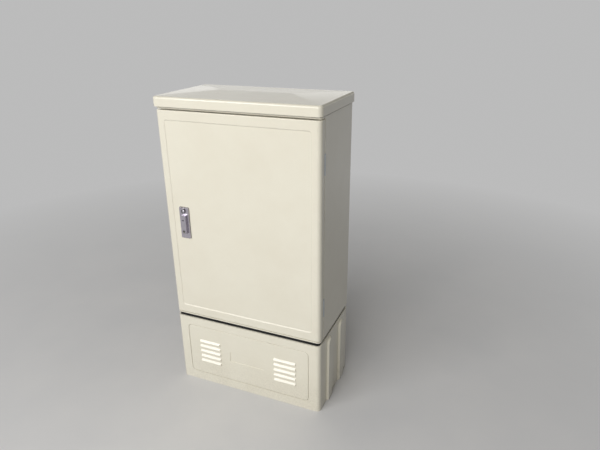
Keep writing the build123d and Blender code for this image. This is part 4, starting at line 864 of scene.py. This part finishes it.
# Door seal: a foot in the channel and a round bulb that meets the lip of the opening
sealFoot = [(-4.4, -134.7), (4.4, -134.7), (4.4, -132.9)]
sealBulb = arc((0.0, -129.3), (4.3, 4.3), range(-42, 223, 16))
doorSealLook = {
    "centre": (0.0, 664.5),
    "width": 514.0,
    "height": 713.0,
    "corner": 10.0,
    "profile": sealFoot + sealBulb + [(-4.4, -132.9)],
}


def makeDoorSeal(look):
    bm = bmesh.new()
    sweepRound(bm, look)
    seal = finishPiece("doorSeal", bm, blackRubber, "door", 50.0)
    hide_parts("door_gasket")


makeDoorSeal(doorSealLook)

# Lock: a thin rubber under the plate, and the raised rim and dome of the key cover
lockSealLook = {
    "centre": (-210.0, 655.0),
    "width": 36.0,
    "height": 112.0,
    "corner": 3.0,
    "profile": [(-1.5, -146.05), (0.7, -146.05), (0.9, -146.5), (0.5, -146.9), (-1.5, -146.9)],
}
keyRimLook = {
    "place": (-210.0, -154.4, 698.0),
    "rim": [(5.2, 0.0), (5.4, 0.7), (6.2, 1.0), (7.1, 0.9), (7.5, 0.3), (7.5, 0.0)],
    "dome": [(0.0, 1.1), (1.6, 1.0), (3.0, 0.7), (3.9, 0.2), (4.0, 0.0)],
}


def makeLockTrim(seal, rim):
    bm = bmesh.new()
    sweepRound(bm, seal)
    finishPiece("lockPlateSeal", bm, blackRubber, "door")
    bm = bmesh.new()
    turnShape(bm, rim["place"], (0, -1, 0), rim["rim"])
    finishPiece("keyCoverRim", bm, darkPlastic, "key_cover")
    bm = bmesh.new()
    turnShape(bm, rim["place"], (0, -1, 0), rim["dome"])
    finishPiece("keyCoverDome", bm, satinChrome, "key_cover")


makeLockTrim(lockSealLook, keyRimLook)

# Rod ends: nylon caps that stand out round the rods and run over the frame
rodTipLook = {
    "ends": {
        "upper": {"body": "upper_rod", "place": (-196.35, -101.8, 1008.0), "up": 1, "length": 9.8},
        "lower": {"body": "lower_rod", "place": (-223.65, -101.8, 317.0), "up": -1, "length": 5.6},
    },
    "rod": 4.02,
    "radius": 4.8,
    "lead": 0.3,
    "crown": (2.0, 0.4),
    "nose": 1.2,
}


def makeRodTips(look):
    radius = look["radius"]
    for end, tip in look["ends"].items():
        length = tip["length"]
        profile = [
            (look["rod"], 0.0),
            (radius, look["lead"]),
            (radius, length - look["crown"][0]),
            (radius - look["nose"], length - look["crown"][1]),
            (0.0, length),
        ]
        bm = bmesh.new()
        turnShape(bm, tip["place"], (0, 0, tip["up"]), profile)
        finishPiece(end + "RodTip", bm, whitePlastic, tip["body"])


makeRodTips(rodTipLook)

# Cable grommets: a rounded bead round each port
grommetLipLook = {
    "places": [(x, y, 300.9) for x in (-80.0, 80.0) for y in (-35.0, 45.0)],
    "profile": arc((15.6, 0.0), (1.4, 1.2), range(-20, 201, 20)),
}


def makeGrommetLips(look):
    bm = bmesh.new()
    for place in look["places"]:
        turnShape(bm, place, (0, 0, 1), look["profile"])
    finishPiece("grommetLips", bm, blackRubber, "cabinet")


makeGrommetLips(grommetLipLook)

# Clear film that stands out round each record sheet
filmLook = {
    "centres": ((-32.0, 585.25), (-32.0, 754.75)),
    "width": 240.0,
    "height": 154.5,
    "corner": 3.0,
    "profile": [(-0.4, -123.95), (4.0, -123.95), (4.2, -123.7), (4.0, -123.45), (-0.4, -123.15)],
}


def makeSheetFilms(look):
    bm = bmesh.new()
    for centre in look["centres"]:
        sweepRound(bm, {**look, "centre": centre})
    finishPiece("sheetFilms", bm, ringPlastic, "door")


makeSheetFilms(filmLook)
print("door and lock dressed")

# Trays: dust caps in the usual twelve colours, a label strip with a field for each, and a latch
capLook = {
    "tones": [
        paint(30, 92, 190),
        paint(238, 120, 32),
        paint(38, 152, 70),
        paint(122, 76, 44),
        paint(150, 152, 156),
        paint(240, 240, 238),
        paint(204, 34, 40),
        paint(32, 32, 34),
        paint(240, 208, 46),
        paint(126, 64, 158),
        paint(240, 148, 172),
        paint(64, 188, 200),
    ],
    "firstX": -121.2,
    "pitch": 13.4,
    "rise": 10.5,
    "rearY": -50.9,
    "size": (7.8, 5.0, 8.6),
    "edge": 0.7,
    "rim": 1.2,
    "knob": 1.3,
}
labelLook = {
    "left": -126.5,
    "right": 31.5,
    "low": 17.2,
    "high": 22.2,
    "y": -46.0,
    "thickness": 0.7,
    "fields": 12,
    "rim": 0.5,
    "sunk": 0.3,
}
latchLook = {
    "x": 184.1,
    "rise": 12.4,
    "size": (2.6, 5.0, 11.0),
    "frontY": -50.2,
    "edge": 0.4,
    "rim": 0.4,
    "sunk": 0.6,
}


# A face looks to the front where the Y of its normal is lower than this
frontLimit = -0.99


# A block with eased edges, which gives back its front face
def addBlock(bm, centre, size, edge):
    place = Matrix.Translation(mm(*centre)) @ Matrix.Diagonal(mm(*size)).to_4x4()
    verts = bmesh.ops.create_cube(bm, size=1.0, matrix=place)["verts"]
    made = bmesh.ops.bevel(
        bm,
        geom=edgesOf(verts),
        offset=edge / 1000,
        offset_type="OFFSET",
        segments=2,
        profile=0.5,
        affect="EDGES",
        clamp_overlap=True,
        material=-1,
    )
    bm.normal_update()
    near = dict.fromkeys(face for new in made["faces"] for vert in new.verts for face in vert.link_faces)
    return [face for face in near if face.normal.y < frontLimit]


def sinkFront(bm, front, look):
    bmesh.ops.inset_region(bm, faces=front, thickness=look["rim"] / 1000, depth=-look["sunk"] / 1000)


def makeCaps(number, z, look):
    bm = bmesh.new()
    tone = bm.verts.layers.float_color.new("tone")
    y = look["rearY"] - look["size"][1] / 2
    for place, colour in enumerate(look["tones"]):
        before = set(bm.verts)
        x = look["firstX"] + look["pitch"] * place
        front = addBlock(bm, (x, y, z + look["rise"]), look["size"], look["edge"])
        bmesh.ops.inset_region(bm, faces=front, thickness=look["rim"] / 1000, depth=0.0)
        pushed = bmesh.ops.extrude_discrete_faces(bm, faces=front)["faces"]
        ends = list(dict.fromkeys(vert for end in pushed for vert in end.verts))
        bmesh.ops.translate(bm, verts=ends, vec=mm(0, -look["knob"], 0))
        for vert in set(bm.verts) - before:
            vert[tone] = colour
    finishPiece(f"dustCaps{number:02d}", bm, capPlastic, f"tray_{number:02d}", 30.0)


def makeLabel(number, z, look):
    bm = bmesh.new()
    width, height = look["right"] - look["left"], look["high"] - look["low"]
    x, rise = (look["left"] + look["right"]) / 2, (look["low"] + look["high"]) / 2
    centre = mm(x, look["y"] - look["thickness"], z + rise)
    turn = Matrix.Rotation(math.radians(90), 4, "X")
    place = Matrix.Translation(centre) @ turn @ Matrix.Diagonal(mm(width / 2, height / 2, 1)).to_4x4()
    bmesh.ops.create_grid(bm, x_segments=look["fields"], y_segments=1, size=1.0, matrix=place)
    fields = list(bm.faces)
    border = [edge for edge in bm.edges if edge.is_boundary]
    pushStrip(bm, border, (0, look["thickness"], 0))
    rim, sunk = look["rim"] / 1000, look["sunk"] / 1000
    bmesh.ops.inset_individual(bm, faces=fields, thickness=rim, depth=-sunk)
    finishPiece(f"labelStrip{number:02d}", bm, whitePlastic, f"tray_{number:02d}", 30.0)


def makeLatch(number, z, look):
    bm = bmesh.new()
    centre = (look["x"], look["frontY"] + look["size"][1] / 2, z + look["rise"])
    sinkFront(bm, addBlock(bm, centre, look["size"], look["edge"]), look)
    finishPiece(f"latch{number:02d}", bm, darkPlastic, f"tray_{number:02d}", 30.0)


for number in range(1, trayLook["count"] + 1):
    z = trayLook["firstZ"] + trayLook["pitch"] * (number - 1)
    makeCaps(number, z, capLook)
    makeLabel(number, z, labelLook)
    makeLatch(number, z, latchLook)

# White label plate beside the parking plugs
plateLook = {"centre": (170.0, -50.5, 628.0), "size": (36.0, 1.1, 12.0), "edge": 0.4, "rim": 1.0, "sunk": 0.4}


def makePlugPlate(look):
    bm = bmesh.new()
    sinkFront(bm, addBlock(bm, look["centre"], look["size"], look["edge"]), look)
    finishPiece("plugPlate", bm, whitePlastic, "cabinet")


makePlugPlate(plateLook)
print("tray module dressed")

# Floor: it fades into the far tone for the camera and for mirrors, and throws back a quieter light
floorLook = {
    "size": 60.0,
    "colour": paint(226, 224, 222),
    "shade": paint(208, 208, 209),
    "cloud": {"Scale": 3.0, "Detail": 6.0},
    "thrown": paint(160, 160, 160),
    "far": (0.5, 0.5, 0.5, 1.0),
    "fade": (0.3, 2.8),
    "sockets": {"Roughness": 0.75},
}


def makeFloor(look):
    bm = bmesh.new()
    bmesh.ops.create_grid(bm, x_segments=1, y_segments=1, size=look["size"] / 2)
    mesh = bpy.data.meshes.new("floor")
    bm.to_mesh(mesh)
    bm.free()
    floor = bpy.data.objects.new("floor", mesh)
    scene.collection.objects.link(floor)
    material, tree, shader = startMaterial("paleFloor", look)
    place = objectPlace(tree)
    path = tree.nodes.new("ShaderNodeLightPath").outputs
    seen = maths(tree, "MAXIMUM", path["Is Camera Ray"], path["Is Glossy Ray"])
    seen = maths(tree, "MAXIMUM", seen, path["Is Transmission Ray"])
    clouded = blendColour(tree, noise(tree, place, **look["cloud"]), look["colour"], look["shade"])
    tree.links.new(blendColour(tree, seen, look["thrown"], clouded), shader.inputs["Base Color"])
    away = put(tree, "ShaderNodeVectorMath", {0: place}, operation="LENGTH").outputs["Value"]
    share = maths(tree, "MULTIPLY", spread(tree, away, *look["fade"]), seen)
    glow = put(tree, "ShaderNodeEmission", {"Color": look["far"], "Strength": 1.0})
    mixed = put(tree, "ShaderNodeMixShader", {0: share, 1: shader.outputs[0], 2: glow.outputs[0]})
    tree.links.new(mixed.outputs[0], tree.nodes["Material Output"].inputs["Surface"])
    mesh.materials.append(material)


makeFloor(floorLook)

# Studio walls: ambient light, what gloss mirrors above and near the horizon, and what the camera sees
worldLook = {
    "ambient": 0.18,
    "mirrored": 0.28,
    "horizon": 0.69,
    "band": (0.18, 0.214),
    "seen": 0.5,
    "tint": (1.0, 0.985, 0.94, 1.0),
    "plain": (1.0, 1.0, 1.0, 1.0),
}


def makeWorld(look):
    world = bpy.data.worlds.new("studio")
    scene.world = world
    world.use_nodes = True
    tree = world.node_tree
    path = tree.nodes.new("ShaderNodeLightPath").outputs
    clear = maths(tree, "MAXIMUM", path["Is Camera Ray"], path["Is Transmission Ray"])
    towards = tree.nodes.new("ShaderNodeTexCoord").outputs["Generated"]
    rise = put(tree, "ShaderNodeSeparateXYZ", {0: towards}).outputs["Z"]
    wall = spread(tree, rise, *look["band"], look["horizon"], look["mirrored"])
    lit = spread(tree, path["Is Glossy Ray"], 0.0, 1.0, look["ambient"], wall)
    background = tree.nodes["Background"].inputs
    tree.links.new(spread(tree, clear, 0.0, 1.0, lit, look["seen"]), background["Strength"])
    tree.links.new(blendColour(tree, clear, look["tint"], look["plain"]), background["Color"])


makeWorld(worldLook)

# Lamps: the high one stands where the slopes of the louvres mirror it to the camera
lampLook = {
    "key": {"place": (-1.7, -3.5, 2.25), "aim": (0.0, 0.0, 0.55), "size": 2.4, "power": 44.0},
    "high": {"place": (-1.62, -2.8, 2.68), "aim": (0.0, -0.16, 0.17), "size": 1.4, "power": 18.0},
    "front": {"place": (0.3, -3.9, 2.6), "aim": (0.1, 0.0, 0.5), "size": 2.4, "power": 101.0},
    "back": {"place": (-1.6, 3.0, 2.4), "aim": (0.0, 0.0, 0.6), "size": 2.4, "power": 6.0},
    "top": {"place": (-0.4, 0.5, 3.4), "aim": (0.0, 0.0, 0.5), "size": 2.0, "power": 0.5},
}


def makeLamp(name, look):
    data = bpy.data.lights.new(name, "AREA")
    data.energy = look["power"]
    data.size = look["size"]
    lamp = bpy.data.objects.new(name, data)
    scene.collection.objects.link(lamp)
    lamp.location = look["place"]
    towards = Vector(look["aim"]) - Vector(look["place"])
    lamp.rotation_euler = towards.to_track_quat("-Z", "Y").to_euler()


for lampName, lamp in lampLook.items():
    makeLamp(lampName, lamp)
print("floor and light set")
